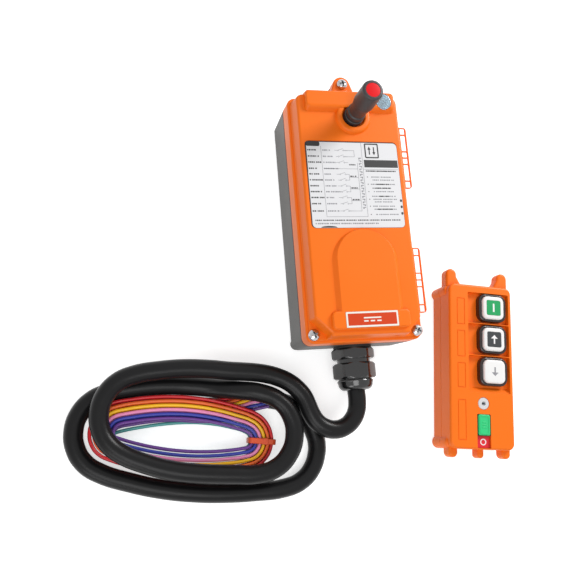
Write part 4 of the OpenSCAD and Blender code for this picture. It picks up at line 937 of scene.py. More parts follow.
class OBJECT_OT_remote_label(bpy.types.Operator):
    """Makes the label with its wiring plan; its words are left as plain blocks"""
    bl_idname = "remote.label"
    bl_label = "Wiring label"

    def lift_sign(self, bm, plan):
        """A square frame with an arrow up and an arrow down, the plain sign for lifting and lowering."""
        left, right, upper, lower = 0.645, 0.785, 0.025, 0.185
        for ends in ((left, upper, right, upper), (left, lower, right, lower),
                     (left, upper, left, lower), (right, upper, right, lower)):
            plan.line(bm, *ends, 0.0009)
        middle = (upper + lower) / 2
        for u, way in ((0.69, -1), (0.74, 1)):
            plan.line(bm, u, middle - 0.045 * way, u, middle + 0.02 * way, 0.0008)
            x0, y0 = plan.at(u - 0.017, middle + 0.015 * way)
            x1, y1 = plan.at(u + 0.017, middle + 0.052 * way)
            head = [(x0, y0), (x1, y0), ((x0 + x1) / 2, y1)]
            mark(bm, head if way < 0 else head[::-1], plan.top)

    def bold_print(self, plan):
        """The dark print: sign, bar, headings, row names and notes."""
        bm = bmesh.new()
        plan.patch(bm, 0.006, 0.006, 0.155, 0.062, 0.0012)
        plan.patch(bm, 0.62, 0.214, 0.992, 0.302)
        plan.line(bm, 0.006, 0.02, 0.006, 0.36, 0.0006)
        plan.line(bm, 0.15, 0.008, 0.60, 0.008, 0.0004)
        self.lift_sign(bm, plan)
        for v in (0.69, 0.762, 0.838):
            mark(bm, circle(*plan.at(0.984, v), 0.0008, 14, 0.0010), plan.top)
        mark(bm, arc(*plan.at(0.18, 0.997), 0.0056, 14, tall=0.0011), plan.top)
        for i, v in enumerate(ROW_SHARES):
            plan.dashes(bm, 0.02, 0.115 + 0.022 * (i % 3), v, 0.0155, i)
        for row in (2, 4, 6, 8):
            v = (ROW_SHARES[row] + ROW_SHARES[row + 1]) / 2
            plan.dashes(bm, 0.455, 0.53, v - 0.012, 0.014, row)
        for i, (v, reach) in enumerate(HEADING_SHARES):
            plan.dashes(bm, 0.80 - reach, 0.80 + reach, v, 0.0135, i)
        for v in (0.415, 0.50, 0.585, 0.675, 0.755, 0.85):
            plan.patch(bm, 0.636, v - 0.005, 0.646, v + 0.005, 0.0002)
        plan.dashes(bm, 0.04, 0.96, 0.915, 0.0125, 2)
        return solid(bm)

    def fine_print(self, plan):
        """The thin print: frames, wires, contacts and small notes."""
        bm = bmesh.new()
        rows = ROW_SHARES
        for ends in ((0.165, 0.062, 0.165, 0.875), (0.604, 0.01, 0.604, 0.875), (0.165, 0.875, 0.604, 0.875),
                     (0.604, 0.325, 0.99, 0.325)):
            plan.line(bm, *ends)
        for i, v in enumerate(rows):
            plan.dashes(bm, 0.18, 0.26 + 0.024 * (i % 4), v, 0.014, i + 3)
            # the fourth row is a through line
            if i != 3:
                plan.contact(bm, 0.35, v)
                plan.line(bm, 0.31 + 0.012 * (i % 2), v, 0.342, v)
                plan.line(bm, 0.413, v, 0.445, v)
        for row in (4, 6, 8):
            plan.line(bm, 0.445, rows[row], 0.445, rows[row + 1])
            v = (rows[row] + rows[row + 1]) / 2
            plan.line(bm, 0.445, v, 0.545, v)
        for ends in ((0.413, rows[0], 0.52, rows[0]), (0.52, rows[0], 0.52, rows[1]),
                     (0.413, rows[1], 0.52, rows[1]), (0.18, rows[3], 0.545, rows[3]),
                     (0.545, rows[2], 0.545, rows[10]), (0.413, rows[10], 0.545, rows[10])):
            plan.line(bm, *ends)
        for i, v in enumerate(NOTE_SHARES):
            plan.dashes(bm, 0.67 + 0.012 * (i % 3), 0.90 + 0.03 * (i % 4) / 2, v, 0.0115, i)
        plan.dashes(bm, 0.04, 0.72, 0.952, 0.014, 5)
        for k in range(19):
            v = 0.19 + 0.032 * k
            plan.patch(bm, 0.562, v, 0.592, v + 0.009, 0.00005)
            plan.patch(bm, 0.562 + 0.018 * (k % 2), v + 0.009, 0.574 + 0.018 * (k % 2), v + 0.020, 0.00005)
        return solid(bm)

    def execute(self, context):
        low, high = BOXES["wiring_label"]
        x, y = centre_of("wiring_label")
        # the film is a little smaller than its backing, and moved towards one corner
        shift, film, bed, soft = 0.0003, 0.0002, 0.00022, 0.00004
        backing = prism(footprint("wiring_label"), 0.003, [(low.z, 0), (high.z - bed, 0)])
        dress(backing, "label_backing", finishes["ink"], "receiver")
        sheet = rect(high.x - low.x - 2 * shift, high.y - low.y - 2 * shift, x + shift, y - shift)
        made = prism(sheet, 0.0028, [(high.z - film, 0), (high.z - soft, 0), (high.z, soft)])
        dress(made, "label_film", finishes["label"], "receiver", ["wiring_label"])
        plan = LabelPlan()
        dress(self.bold_print(plan), "label_print", finishes["ink"], "receiver", flat=False)
        dress(self.fine_print(plan), "label_print_thin", finishes["faded"], "receiver", flat=False)
        return {"FINISHED"}


class OBJECT_OT_remote_plate(bpy.types.Operator):
    """Makes the voltage plate: white border, coloured field and the sign for direct current"""
    bl_idname = "remote.plate"
    bl_label = "Voltage plate"

    def execute(self, context):
        low, high = BOXES["voltage_plate"]
        x, y = centre_of("voltage_plate")
        top, border, coat, soft = high.z + 0.0001, 0.0012, 0.00005, 0.00006
        base = prism(footprint("voltage_plate"), 0.0004, [(low.z, 0), (top - soft, 0), (top, soft)], 3)
        dress(base, "voltage_plate_border", finishes["plate_white"], "receiver",
              ["voltage_plate"])
        field = prism(footprint("voltage_plate", -2 * border), 0.0002, [(top, 0), (top + coat, 0)], 2)
        dress(field, "voltage_plate_field", finishes["plate"], "receiver")
        # one long bar above three short ones
        sign = bmesh.new()
        long, short, pitch, thick, upper, lower = 0.006, 0.0015, 0.0045, 0.0009, y + 0.0009, y - 0.0012
        stroke(sign, (x - long, upper), (x + long, upper), thick, top + coat)
        for k in (-1, 0, 1):
            mid = x + k * pitch
            stroke(sign, (mid - short, lower), (mid + short, lower), thick, top + coat)
        dress(solid(sign), "voltage_plate_sign", finishes["plate_white"], "receiver", flat=False)
        return {"FINISHED"}


class OBJECT_OT_remote_window(bpy.types.Operator):
    """Makes the clear window of the status light"""
    bl_idname = "remote.window"
    bl_label = "Status window"

    def execute(self, context):
        s = sizes("receiver")
        low, high = BOXES["status_window"]
        x, y = centre_of("status_window")
        r = (high.x - low.x) / 2
        top = s.face + s.block
        under = top - 0.0016
        lens = spun([(0, under), (r, under), (r, top), (r - 0.0003, top + 0.0003),
                     (r - 0.0012, top + 0.0005), (0, top + 0.0006)], x, y, 56)
        dress(lens, "window_lens", finishes["lens"], "receiver", ["status_window"])
        seat, rim, shelf = under - 0.0008, under - 0.0001, s.face - 0.0026
        holder = spun([(0, low.z), (0.0022, low.z), (0.0022, shelf), (r, shelf), (r, rim), (r - 0.0006, rim),
                       (r - 0.0010, seat), (0, seat)], x, y, 56)
        dress(holder, "window_holder", finishes["holder"], "receiver")
        lamp = spun([(0, seat), (0.0036, seat), (0.0036, seat + 0.0002), (0.0030, seat + 0.0004),
                     (0.0018, seat + 0.0004), (0.0014, seat + 0.0001), (0, seat + 0.0001)], x, y, 40)
        dress(lamp, "window_lamp", finishes["lamp"], "receiver")
        return {"FINISHED"}


# Antenna, screws and gland

class OBJECT_OT_remote_antenna(bpy.types.Operator):
    """Makes the antenna stub and its red disc"""
    bl_idname = "remote.antenna"
    bl_label = "Antenna"

    def execute(self, context):
        low, high = BOXES["antenna_stub"]
        x, y = centre_of("antenna_stub")
        collar, neck, head, disc, sunk = 0.0069, 0.0059, 0.0072, 0.0050, 0.0008
        top = high.z
        foot = low.z + 0.005
        flare = top - 0.025
        collar_part = [(0, low.z), (collar, low.z), (collar, foot - 0.0004), (collar - 0.0004, foot)]
        neck_part = [(neck, foot), (neck, foot + 0.0006), (neck + 0.0005, foot + 0.0008),
                     (neck + 0.0006, foot + 0.0046), (neck + 0.0003, foot + 0.0050),
                     (neck - 0.0002, foot + 0.0053), (neck - 0.0002, foot + 0.0058), (neck, foot + 0.0060)]
        head_part = [(neck, flare), (neck + 0.0002, flare + 0.0015), (head - 0.0002, flare + 0.0068),
                     (head, flare + 0.008), (head, top - 0.0014), (head - 0.0003, top - 0.0006),
                     (head - 0.0010, top - 0.0001), (head - 0.0016, top)]
        bed = [(disc, top), (disc, top - sunk), (0, top - sunk)]
        made = spun([*collar_part, *neck_part, *head_part, *bed], x, y, 64)
        dress(made, "antenna_body", finishes["stub"], "receiver", ["antenna_stub"])
        r = disc - 0.0001
        cap = spun([(0, top - sunk), (r, top - sunk), (r, top - 0.0002), (disc - 0.0005, top), (0, top)],
                   x, y)
        dress(cap, "antenna_disc", finishes["cap_red"], "receiver", ["antenna_cap"])
        return {"FINISHED"}


class OBJECT_OT_remote_screws(bpy.types.Operator):
    """Makes the three cross-recess screws of the cover"""
    bl_idname = "remote.screws"
    bl_label = "Cover screws"

    def screw(self, x, y, twist):
        """One screw, with its cross turned by twist in degrees."""
        low, base = BOXES["cover_screws"][0].z, sizes("receiver").pad
        tip, shank, head = 0.0016, 0.002, 0.0038
        made = spun([(0, low), (tip, low), (shank, low + 0.001), (shank, base), (head, base),
                     (head, base + 0.0007), (head * 0.93, base + 0.0014), (head * 0.76, base + 0.0021),
                     (head * 0.45, base + 0.0026), (0, base + 0.0028)], x, y, 40)
        # height, length and width of one bar of the cross
        bar = ((0.0002, 0.0020, 0.0006), (0.0014, 0.0038, 0.0010), (0.0030, 0.0050, 0.0012))
        loops = [level(rounded(rect(run, wide), 0.0002, 2), base + up) for up, run, wide in bar]
        middle = Matrix.Translation((x, y, 0))
        combine(made, [skinned(loops, middle @ Matrix.Rotation(math.radians(angle), 4, "Z"))
                       for angle in (twist, twist + 90)], "DIFFERENCE")
        return made

    def execute(self, context):
        made, *others = [self.screw(x, y, twist) for (x, y), twist in zip(screw_places(), (20, 62, 8))]
        for other in others:
            combine(made, [other], "UNION")
        # the chrome finish carries painted reflection in its colour
        dress(made, "cover_screw_set", finishes["chrome"], "receiver", ["cover_screws"],
              angle=38)
        return {"FINISHED"}


# Places along the gland's axis, from the case's wall: ends of the washer, the hexagon, the neck and the nut
WASHER = 0.0015
HEXAGON_END = WASHER + 0.0075
NECK_END = HEXAGON_END + 0.0025
NUT_END = NECK_END + 0.011
DOME = 0.008


def nut_body(low, high, place):
    """A hexagon with rounded corners, trimmed a little at both ends."""
    flats = sizes("cable").gland
    turn = math.radians(12.5)
    corner = flats / 2 / math.cos(math.pi / 6)
    rim = rounded([(corner * math.cos(turn + math.pi / 3 * k), corner * math.sin(turn + math.pi / 3 * k))
                   for k in range(6)], 0.0012)
    # the long sides are divided, so that the trimmed ends come out round
    fine = []
    for i, p in enumerate(rim):
        q = rim[(i + 1) % len(rim)]
        count = 8 if (q - p).length > 0.003 else 1
        fine += [p.lerp(q, k / count) for k in range(count)]
    trims = (0, 0.0004, 0.0008, 0.0012)
    reach = flats / 2 + 0.0002
    levels = [(low + d, reach + d * 1.1) for d in trims]
    levels += [(high - d, reach + d * 1.1) for d in reversed(trims)]
    return skinned([level([p * min(1, far / p.length) for p in fine], z) for z, far in levels], place)


class OBJECT_OT_remote_gland(bpy.types.Operator):
    """Makes the cable gland: body, nut and dome"""
    bl_idname = "remote.gland"
    bl_label = "Cable gland"

    def body(self, hole, place):
        """The hexagon with its thread, which starts inside the case and ends under the nut."""
        made = nut_body(WASHER, HEXAGON_END, place)
        thread, sleeve, clamp = 0.0112, 0.0116, 0.0106
        turns = [(-0.009, 0)] + [(-0.008 + 0.0012 * k, 0.0007 * (k % 2)) for k in range(8)]
        core = spun([(0, -0.009), *[(thread - d, z) for z, d in turns], (thread, WASHER + 0.001),
                     (sleeve, WASHER + 0.001), (sleeve, NUT_END - 0.002), (0, NUT_END - 0.002)],
                    segments=56, place=place)
        combine(made, [core], "UNION")
        bore = spun([(hole, -0.02), (hole, NECK_END - 0.001), (clamp, NECK_END - 0.001), (clamp, NUT_END)],
                    place=place)
        combine(made, [bore], "DIFFERENCE")
        dress(made, "gland_body_hex", finishes["gland"], "receiver", ["gland_body"], angle=28)

    def nut(self, hole, place):
        """The nut and its dome."""
        made = nut_body(NECK_END + 0.0002, NUT_END, place)
        end = NUT_END + DOME
        r, turn, room = sizes("cable").gland / 2 - 0.0008, 0.0046, 0.01175
        curve = [(r - 0.0006 - turn * (1 - math.cos(w)), end - turn + turn * math.sin(w))
                 for w in [math.pi / 2 * k / 8 for k in range(9)]]
        dome = spun([(0, NUT_END - 0.001), (r - 0.0012, NUT_END - 0.001), (r - 0.0012, NUT_END + 0.0006),
                     (r - 0.0002, NUT_END + 0.0011), (r, NUT_END + 0.0018), *curve, (0, end)],
                    segments=64, place=place)
        combine(made, [dome], "UNION")
        inner = spun([(room, NECK_END - 0.001), (room, NUT_END - 0.0009), (hole, NUT_END - 0.0009),
                      (hole, end - 0.001), (hole + 0.0008, end + 0.0004)], place=place)
        combine(made, [inner], "DIFFERENCE")
        dress(made, "gland_nut_dome", finishes["gland"], "receiver", ["gland_nut"], angle=28)

    def execute(self, context):
        hole = sizes("cable").cable / 2 + 0.0002
        self.body(hole, along_cable())
        self.nut(hole, along_cable())
        return {"FINISHED"}


CARRIED = {
    "case_seal": "seal", "status_led": "charcoal", "antenna_socket": "brass", "antenna_lead": "dark",
    "main_board": "board", "board_screws": "chrome", "relays": "relay", "terminal_block": "terminal",
    "choke": "ferrite", "capacitors": "sleeve", "fuse_clips": "spring", "fuse": "fuse", "radio_module": "tin",
    "gland_washer": "seal", "gland_locknut": "gland", "gland_insert": "seal", "tx_board": "board",
    "tx_switches": "charcoal", "slide_switch": "charcoal", "battery_cells": "cell",
    "battery_contacts": "spring", "battery_cover": "orange"}


class OBJECT_OT_remote_inner(bpy.types.Operator):
    """Gives the pieces that stay as they are their finishes"""
    bl_idname = "remote.inner"
    bl_label = "Inner pieces"

    def execute(self, context):
        for node, kind in CARRIED.items():
            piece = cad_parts[node]
            if not piece.material_slots:
                piece.data.materials.append(finishes[kind])
            for place in piece.material_slots:
                place.material = finishes[kind]
        return {"FINISHED"}


# Transmitter

# Its own place on the floor: its middle and its turn
TX_PLACE = Matrix.Translation((0.093, -0.106, 0)) @ Matrix.Rotation(math.radians(-7), 4, "Z")
BUTTON_X = 0.0092
BUTTON_TOP_Y = 0.0426
# Gap at the joint between the shells, on each side of it
SEAM = 0.0001
# Horns and feet: lower face, upper face, place of the horns, and place and half-width of each foot
EAR_FOOT = 0.014
EAR_TOP = 0.0234
HORN_X = 0.0206
FEET = ((-0.0206, 0.0034), (0.0006, 0.0024), (0.0206, 0.0034))
# Slot of the key switch, its key, and the round window above it
KEY_X = 0.0008
SLOT_TOP = -0.0344
SLOT_HALF = 0.0053
SLOT_RUN = 0.0236
SLOT_DEPTH = 0.0021
KEY_RUN = 0.0144
KEY_Y = SLOT_TOP - 0.0003 - KEY_RUN / 2
KEY_STEM = 0.0036
WINDOW_Y = -0.027
WINDOW_SUNK = 0.0018
# Engraved frames on the left: their middle, and the ends of each
FIELD_X = -0.016
FIELDS = ((0.029, 0.0484), (0.0056, 0.0246), (-0.0164, 0.0012), (-0.0528, -0.0248))


def tx_prism(points, radius, levels, count=6):
    """A rounded solid in the transmitter's own place."""
    return prism(points, radius, levels, count, TX_PLACE)


def tx_spun(profile, x, y, segments, closed=False):
    """A turned solid in the transmitter's own place."""
    return spun(profile, x, y, segments, TX_PLACE, closed)


def button_rows():
    """Middles of the three buttons along the transmitter."""
    return [BUTTON_TOP_Y - sizes("transmitter").pitch * k for k in range(3)]


def knobs(low, high, soft):
    """The four rounded ribs at the transmitter's corners, with their lower and upper rounding."""
    r = 0.0045
    x, y = sizes("transmitter").width / 2 + 0.0016 - r, 0.0545
    lower, upper = soft
    profile = [(0, low), (r - lower, low), (r, low + lower), (r, high - upper),
               (r - upper * 0.3, high - upper * 0.3), (r - upper, high), (0, high)]
    return [tx_spun(profile, i * x, k * y, 32) for i in (-1, 1) for k in (-1, 1)]


class OBJECT_OT_remote_tx_front(bpy.types.Operator):
    """Makes the transmitter's front shell with horns, feet, bays and slot"""
    bl_idname = "remote.tx_front"
    bl_label = "Transmitter front"

    def horns(self, t):
        """The two horns at the upper end."""
        foot, r, slope = t.length / 2 - 0.006, 0.0042, 0.007
        tip = t.length / 2 + 0.012 - r
        right = [(HORN_X + r, foot), *arc(HORN_X, tip, r, 12), (HORN_X - r - 0.0002, t.length / 2 + 0.006),
                 (HORN_X - r - slope / 2, t.length / 2 + 0.0004), (HORN_X - r - slope, foot)]
        left = [(-x, y) for x, y in reversed(right)]
        levels = [*edge_down(EAR_FOOT, 0.0016), *edge_up(EAR_TOP, 0.0020)]
        return [plain_prism(outline, levels, TX_PLACE) for outline in (left, right)]

    def feet(self, t):
        """The three feet at the lower end."""
        base = -t.length / 2
        levels = [*edge_down(EAR_FOOT, 0.0012), *edge_up(EAR_TOP, 0.0016)]
        return [plain_prism([(x + r, base + 0.004), (x - r, base + 0.004), *arc(x, base - 0.006 + r, -r, 12)],
                            levels, TX_PLACE) for x, r in FEET]

    def bays(self, t, floor):
        """Cuts for the three button bays, with ribs between them and a ramp at the lower end."""
        rows = button_rows()
        left, right, top, bottom, ramp, rib = -0.010, 0.022, 0.0534, -0.0154, 0.0042, 0.0012
        edges = [top, rows[0] - t.pitch / 2, rows[1] - t.pitch / 2, bottom]
        made = []
        for i in range(3):
            y1 = edges[i] - (rib / 2 if i else 0)
            y0 = edges[i + 1] + (rib / 2 if i < 2 else 0)
            slant = ramp if i == 2 else 0.0008
            loops = []
            for z, wider, drop in ((floor, 0, 0), (t.height, 0.0003, slant),
                                   (t.height + OVER, 0.0004, slant * 1.25)):
                plan = rect(right - left + 2 * wider, y1 - y0 + drop,
                            (left + right) / 2, (y0 + y1 - drop) / 2)
                loops.append(level(rounded(plan, 0.0008, 4), z))
            made.append(skinned(loops, TX_PLACE))
        return made

    def openings(self, t, floor, under):
        """Holes for the button stems, the window and the key, and the key's slot."""
        stem, light, seat, rim = 0.0022, 0.0021, 0.0044, 0.0048
        ledge = t.height - WINDOW_SUNK
        made = [tx_spun([(stem, under - OVER), (stem, floor + OVER)], BUTTON_X, y, 24)
                for y in button_rows()]
        made.append(tx_spun([(light, under - OVER), (light, ledge), (seat, ledge), (seat, t.height - 0.0002),
                             (rim, t.height + 0.0002)], KEY_X, WINDOW_Y, 40))
        made.append(tx_prism(rect(2 * SLOT_HALF, SLOT_RUN, KEY_X, SLOT_TOP - SLOT_RUN / 2), 0.0008,
                             [(t.height - SLOT_DEPTH, 0), (t.height + OVER, 0)], 4))
        made.append(tx_prism(rect(0.0034, 0.013, KEY_X, KEY_Y + KEY_STEM - 0.0043), 0.0004,
                             [(under - OVER, 0), (t.height, 0)], 2))
        return made

    def frames(self, t):
        """Grooves of the frames on the left."""
        width, low, high = 0.0005, t.height - 0.0004, t.height + OVER
        levels = ((low, 0), (high, 0), (high, width), (low, width))
        made = []
        for y0, y1 in FIELDS:
            line = rect(0.0062, y1 - y0, FIELD_X, (y0 + y1) / 2)
            made.append(skinned([level(rounded(inset(line, d), 0.0003, 2), z) for z, d in levels],
                                TX_PLACE, closed=True))
        return made

    def execute(self, context):
        t = sizes("transmitter")
        outline = rect(t.width, t.length)
        base = t.split + SEAM
        made = tx_prism(outline, t.corner,
                        [*edge_down(base, 0.0003, steps=2), *edge_up(t.height, 0.0018, steps=5)], 8)
        combine(made, [*knobs(base, EAR_TOP, (0.0003, 0.0022)), *self.horns(t), *self.feet(t)], "UNION")
        floor = t.height - t.bay
        under = floor - t.wall
        room = tx_prism(inset(outline, t.wall), t.corner - t.wall, [(t.split - OVER, 0), (under, 0)], 4)
        combine(made, [*self.bays(t, floor), *self.openings(t, floor, under), *self.frames(t), room],
                "DIFFERENCE")
        dress(made, "transmitter_front_shell", finishes["orange"], "handset", ["tx_front"])
        return {"FINISHED"}


class OBJECT_OT_remote_tx_back(bpy.types.Operator):
    """Makes the transmitter's back shell with the battery bay"""
    bl_idname = "remote.tx_back"
    bl_label = "Transmitter back"

    def execute(self, context):
        t = sizes("transmitter")
        joint = t.split - SEAM
        made = tx_prism(rect(t.width, t.length), t.corner,
                        [*edge_down(0, 0.0022, steps=5), *edge_up(joint, 0.0003, steps=2)], 8)
        combine(made, knobs(0.0, joint, (0.0018, 0.0003)), "UNION")
        room = tx_prism(rect(t.width - 4 * t.wall, t.length - 2 * t.wall), 0.002,
                        [(t.wall, 0), (t.split + OVER, 0)], 4)
        wide, run, thick = 0.0334, 0.0582, 0.0021
        track = tx_prism(rect(wide, run, 0, -t.length / 2 - OVER + run / 2), 0.0002,
                         [(-OVER, 0), (thick, 0)], 2)
        bay = tx_prism(rect(0.029, 0.0524, 0, -0.0306), 0.0004, [(-OVER, 0), (t.split, 0)], 2)
        combine(made, [room, track, bay], "DIFFERENCE")
        dress(made, "transmitter_back_shell", finishes["orange"], "handset", ["tx_back"])
        return {"FINISHED"}


class OBJECT_OT_remote_buttons(bpy.types.Operator):
    """Makes the rubber surrounds, the square caps, their inlays and signs"""
    bl_idname = "remote.buttons"
    bl_label = "Buttons"

    def surrounds(self, t, floor):
        """The three rubber frames, as one piece."""
        wide, run, tall, gap = 0.022, 0.0204, 0.0046, 0.0003
        top = floor + tall
        made = bmesh.new()
        for y in button_rows():
            outer = rings(rect(wide, run, BUTTON_X, y), 0.0056,
                          [(floor, 0), *edge_up(top, 0.0012, steps=5)], 8)
            bore = rings(rect(t.cap + 2 * gap, t.cap + 2 * gap, BUTTON_X, y), 0.0043,
                         [*[(z, -d) for z, d in reversed(edge_up(top, 0.0006, steps=3))], (floor, 0)], 8)
            loft(made, outer + bore, closed=True)
        return solid(made, TX_PLACE)

    def cap(self, name, body, node, y, high, inlaid):
        """A square cap on its stem, with a recess where it is inlaid."""
        t = sizes("transmitter")
        low = t.height - t.bay + 0.0018
        made = tx_prism(rect(t.cap, t.cap, BUTTON_X, y), 0.0040,
                        [(low, 0), (high - 0.0020, 0), *edge_up(high - 0.00012, 0.0013, steps=5),
                         (high, 0.0030)], 8)
        combine(made, [tx_spun([(0.002, BOXES[node][0].z), (0.002, low + 0.0005)], BUTTON_X, y, 24)], "UNION")
        if inlaid:
            recess = tx_prism(rect(0.0113, 0.0113, BUTTON_X, y), 0.0012,
                              [(high - 0.0004, 0), (high + OVER, 0)], 4)
            combine(made, [recess], "DIFFERENCE")
        dress(made, name, finishes["white"], body, [node])

    def inlay(self, name, kind, body, node, y, high):
        """The coloured square in a cap."""
        made = tx_prism(rect(0.0110, 0.0110, BUTTON_X, y), 0.0010,
                        [(high - 0.0004, 0), *edge_up(high, 0.0002, steps=2)], 4)
        dress(made, name, finishes[kind], body, [node])

    def bar(self, y):
        """Outline of a plain bar."""
        return rounded(rect(0.0013, 0.0062, BUTTON_X, y), 0.0003, 3)

    def arrow(self, y, way):
        """Outline of a plain arrow, up where way is 1 and down where it is -1."""
        shaft, head, half, wing = 0.0011, 0.0006, 0.0032, 0.0027
        x = BUTTON_X
        line = [(x - shaft / 2, y - way * half), (x + shaft / 2, y - way * half),
                (x + shaft / 2, y + way * head), (x + wing, y + way * head), (x, y + way * half),
                (x - wing, y + way * head), (x - shaft / 2, y + way * head)]
        return line if way > 0 else line[::-1]

    def execute(self, context):
        t = sizes("transmitter")
        dress(self.surrounds(t, t.height - t.bay), "button_surrounds", finishes["surround"], "handset",
              ["tx_surrounds"])
        top, middle, bottom = button_rows()
        # the caps stand out of the body by their stroke and a little more
        proud, press = 0.00066, 0.0015
        high = t.height + proud + press
        self.cap("cap_top", "top_button", "button_top", top, high, True)
        self.cap("cap_middle", "middle_button", "button_middle", middle, high, True)
        self.cap("cap_bottom", "bottom_button", "button_bottom", bottom, high, False)
        self.inlay("inlay_green", "green", "top_button", "inlay_top", top, high)
        self.inlay("inlay_charcoal", "charcoal", "middle_button", "inlay_middle", middle, high)
        for name, kind, slot, body, outline in (
                ("sign_start", "mark", "green", "top_button", self.bar(top)),
                ("sign_up", "mark", "charcoal", "middle_button", self.arrow(middle, 1)),
                ("sign_down", "faded", "cap_white", "bottom_button", self.arrow(bottom, -1))):
            sign = bmesh.new()
            mark(sign, outline, high)
            dress(solid(sign, TX_PLACE), name, finishes[kind], body, flat=False)
        return {"FINISHED"}


class OBJECT_OT_remote_slider(bpy.types.Operator):
    """Makes the green slider, its dark slot, the red field and the round window"""
    bl_idname = "remote.slider"
    bl_label = "Slider and window"

    def key(self, floor):
        """The slider, with a raised rim, three grips and a stem."""
        wide, rim = 0.009, 0.0008
        low, top = BOXES["slide_key"][0].z, BOXES["slide_key"][1].z
        under = floor + 0.0007
        made = tx_prism(rect(wide, KEY_RUN, KEY_X, KEY_Y), 0.0012,
                        [(under, 0), *edge_up(top - 0.0003, 0.0005)], 5)
        line = rect(wide - 2 * rim, KEY_RUN - 2 * rim, KEY_X, KEY_Y)
        levels = ((top - 0.001, 0), (top - 0.0001, 0), (top, 0.0001), (top, 0.0006), (top - 0.0001, 0.0007),
                  (top - 0.001, 0.0007))
        extras = [skinned([level(rounded(inset(line, d), 0.0009, 4), z) for z, d in levels],
                          TX_PLACE, closed=True)]
        extras += [tx_prism(rect(0.0038, 0.0007, KEY_X, KEY_Y + k * 0.0018), 0.0002,
                            [(top - 0.001, 0), *edge_up(top, 0.0002, steps=2)], 2) for k in (-1, 0, 1)]
        extras.append(tx_prism(rect(0.003, 0.004, KEY_X, KEY_Y + KEY_STEM), 0.0003,
                               [(low, 0), (under + 0.0005, 0)], 2))
        combine(made, extras, "UNION")
        dress(made, "slider_key", finishes["key"], "slider", ["slide_key"])

    def field(self, low_y, run):
        """The red field with its printed ring."""
        low, thick = BOXES["stop_field"][0].z, 0.0004
        y = low_y + run / 2
        made = tx_prism(rect(2 * SLOT_HALF - 0.0004, run, KEY_X, y), 0.0006,
                        [(low, 0), *edge_up(low + thick, 0.0001, steps=2)], 4)
        dress(made, "stop_field_plate", finishes["stop"], "handset", ["stop_field"])
        ring = bmesh.new()
        ring_mark(ring, KEY_X, y, 0.0023, 0.0016, 32, low + thick)
        dress(solid(ring, TX_PLACE), "sign_stop", finishes["mark"], "handset", flat=False)

    def lining(self, t, floor, low_y, run):
        """The dark lining of the slot above the field."""
        wall, rim, gap = 0.00025, t.height - 0.0002, 0.0002
        line = rect(2 * SLOT_HALF, SLOT_RUN - run - 2 * gap, KEY_X, (SLOT_TOP + low_y + run + gap) / 2)
        made = skinned([level(rounded(inset(line, d), 0.0007, 4), z)
                        for z, d in ((floor, 0), (rim, 0), (rim, wall), (floor + wall, wall))], TX_PLACE)
        dress(made, "slot_lining", finishes["dark"], "handset")

    def window(self, t):
        """The round window with its small lamp."""
        x, y, r, core, pin = KEY_X, WINDOW_Y, 0.0042, 0.0016, 0.0019
        top, seat, pin_low = t.height, t.height - WINDOW_SUNK, 0.0186
        lens = tx_spun([(core, seat), (r, seat), (r, top - 0.0003), (r - 0.0003, top),
                        (r - 0.0010, top + 0.00005), (core, top + 0.00005)], x, y, 48, closed=True)
        post = tx_spun([(0, pin_low), (pin, pin_low), (pin, top - 0.0006), (0, top - 0.0006)], x, y, 24)
        combine(lens, [post], "UNION")
        dress(lens, "round_window", finishes["round_lens"], "handset", ["tx_window"])
        chip = tx_prism(rect(0.0021, 0.0014, x, y), 0.0002,
                        [(top - 0.0008, 0), *edge_up(top - 0.0001, 0.0002, steps=2)], 2)
        dress(chip, "round_window_lamp", finishes["charcoal"], "handset")

    def execute(self, context):
        t = sizes("transmitter")
        floor = t.height - SLOT_DEPTH
        field_low, field_run = SLOT_TOP - SLOT_RUN + 0.0002, 0.0082
        self.key(floor)
        self.field(field_low, field_run)
        self.lining(t, floor, field_low, field_run)
        self.window(t)
        return {"FINISHED"}


# Stage

# Lamps: place, size and share of the key lamp's power
LAMPS = {"key_lamp": ((0.80, 0.60, 0.62), 0.5, 1.0), "fill_lamp": ((-0.25, -0.60, 0.90), 0.6, 0.3),
         "low_lamp": ((-0.65, -0.95, 0.45), 0.5, 0.17)}
LAMP_AIM = Vector((-0.02, -0.05, 0.0))
FLOOR_SIDE = 6.0
# The floor lies this far under the pieces
FLOOR_DROP = 0.0002


def seen_white(tree, lit, white):
    """Mixes white in for what the camera, a gloss or a glass sees, and the lit surface for all else."""
    nodes, links = tree.nodes, tree.links
    ray = nodes.new("ShaderNodeLightPath")
    share = ray.outputs["Is Camera Ray"]
    for kind in ("Is Glossy Ray", "Is Transmission Ray"):
        either = nodes.new("ShaderNodeMath")
        either.operation = "MAXIMUM"
        links.new(share, either.inputs[0])
        links.new(ray.outputs[kind], either.inputs[1])
        share = either.outputs[0]
    mixed = nodes.new("ShaderNodeMixShader")
    for source, socket in zip((share, lit, white), mixed.inputs):
        links.new(source, socket)
    return mixed.outputs[0]


def floor_paper(g):
    """The floor's white paper, with a glow on top of its light where it is seen."""
    made = bpy.data.materials.new("floor_paper")
    made.use_nodes = True
    nodes, links = made.node_tree.nodes, made.node_tree.links
    nodes.clear()
    paper = nodes.new("ShaderNodeBsdfDiffuse")
    paper.inputs["Color"].default_value = (*g.floor, 1)
    bright = nodes.new("ShaderNodeEmission")
    bright.inputs["Color"].default_value = (1, 1, 1, 1)
    bright.inputs["Strength"].default_value = g.glow
    both = nodes.new("ShaderNodeAddShader")
    links.new(paper.outputs[0], both.inputs[0])
    links.new(bright.outputs[0], both.inputs[1])
    out = nodes.new("ShaderNodeOutputMaterial")
    links.new(seen_white(made.node_tree, paper.outputs[0], both.outputs[0]), out.inputs["Surface"])
    return made


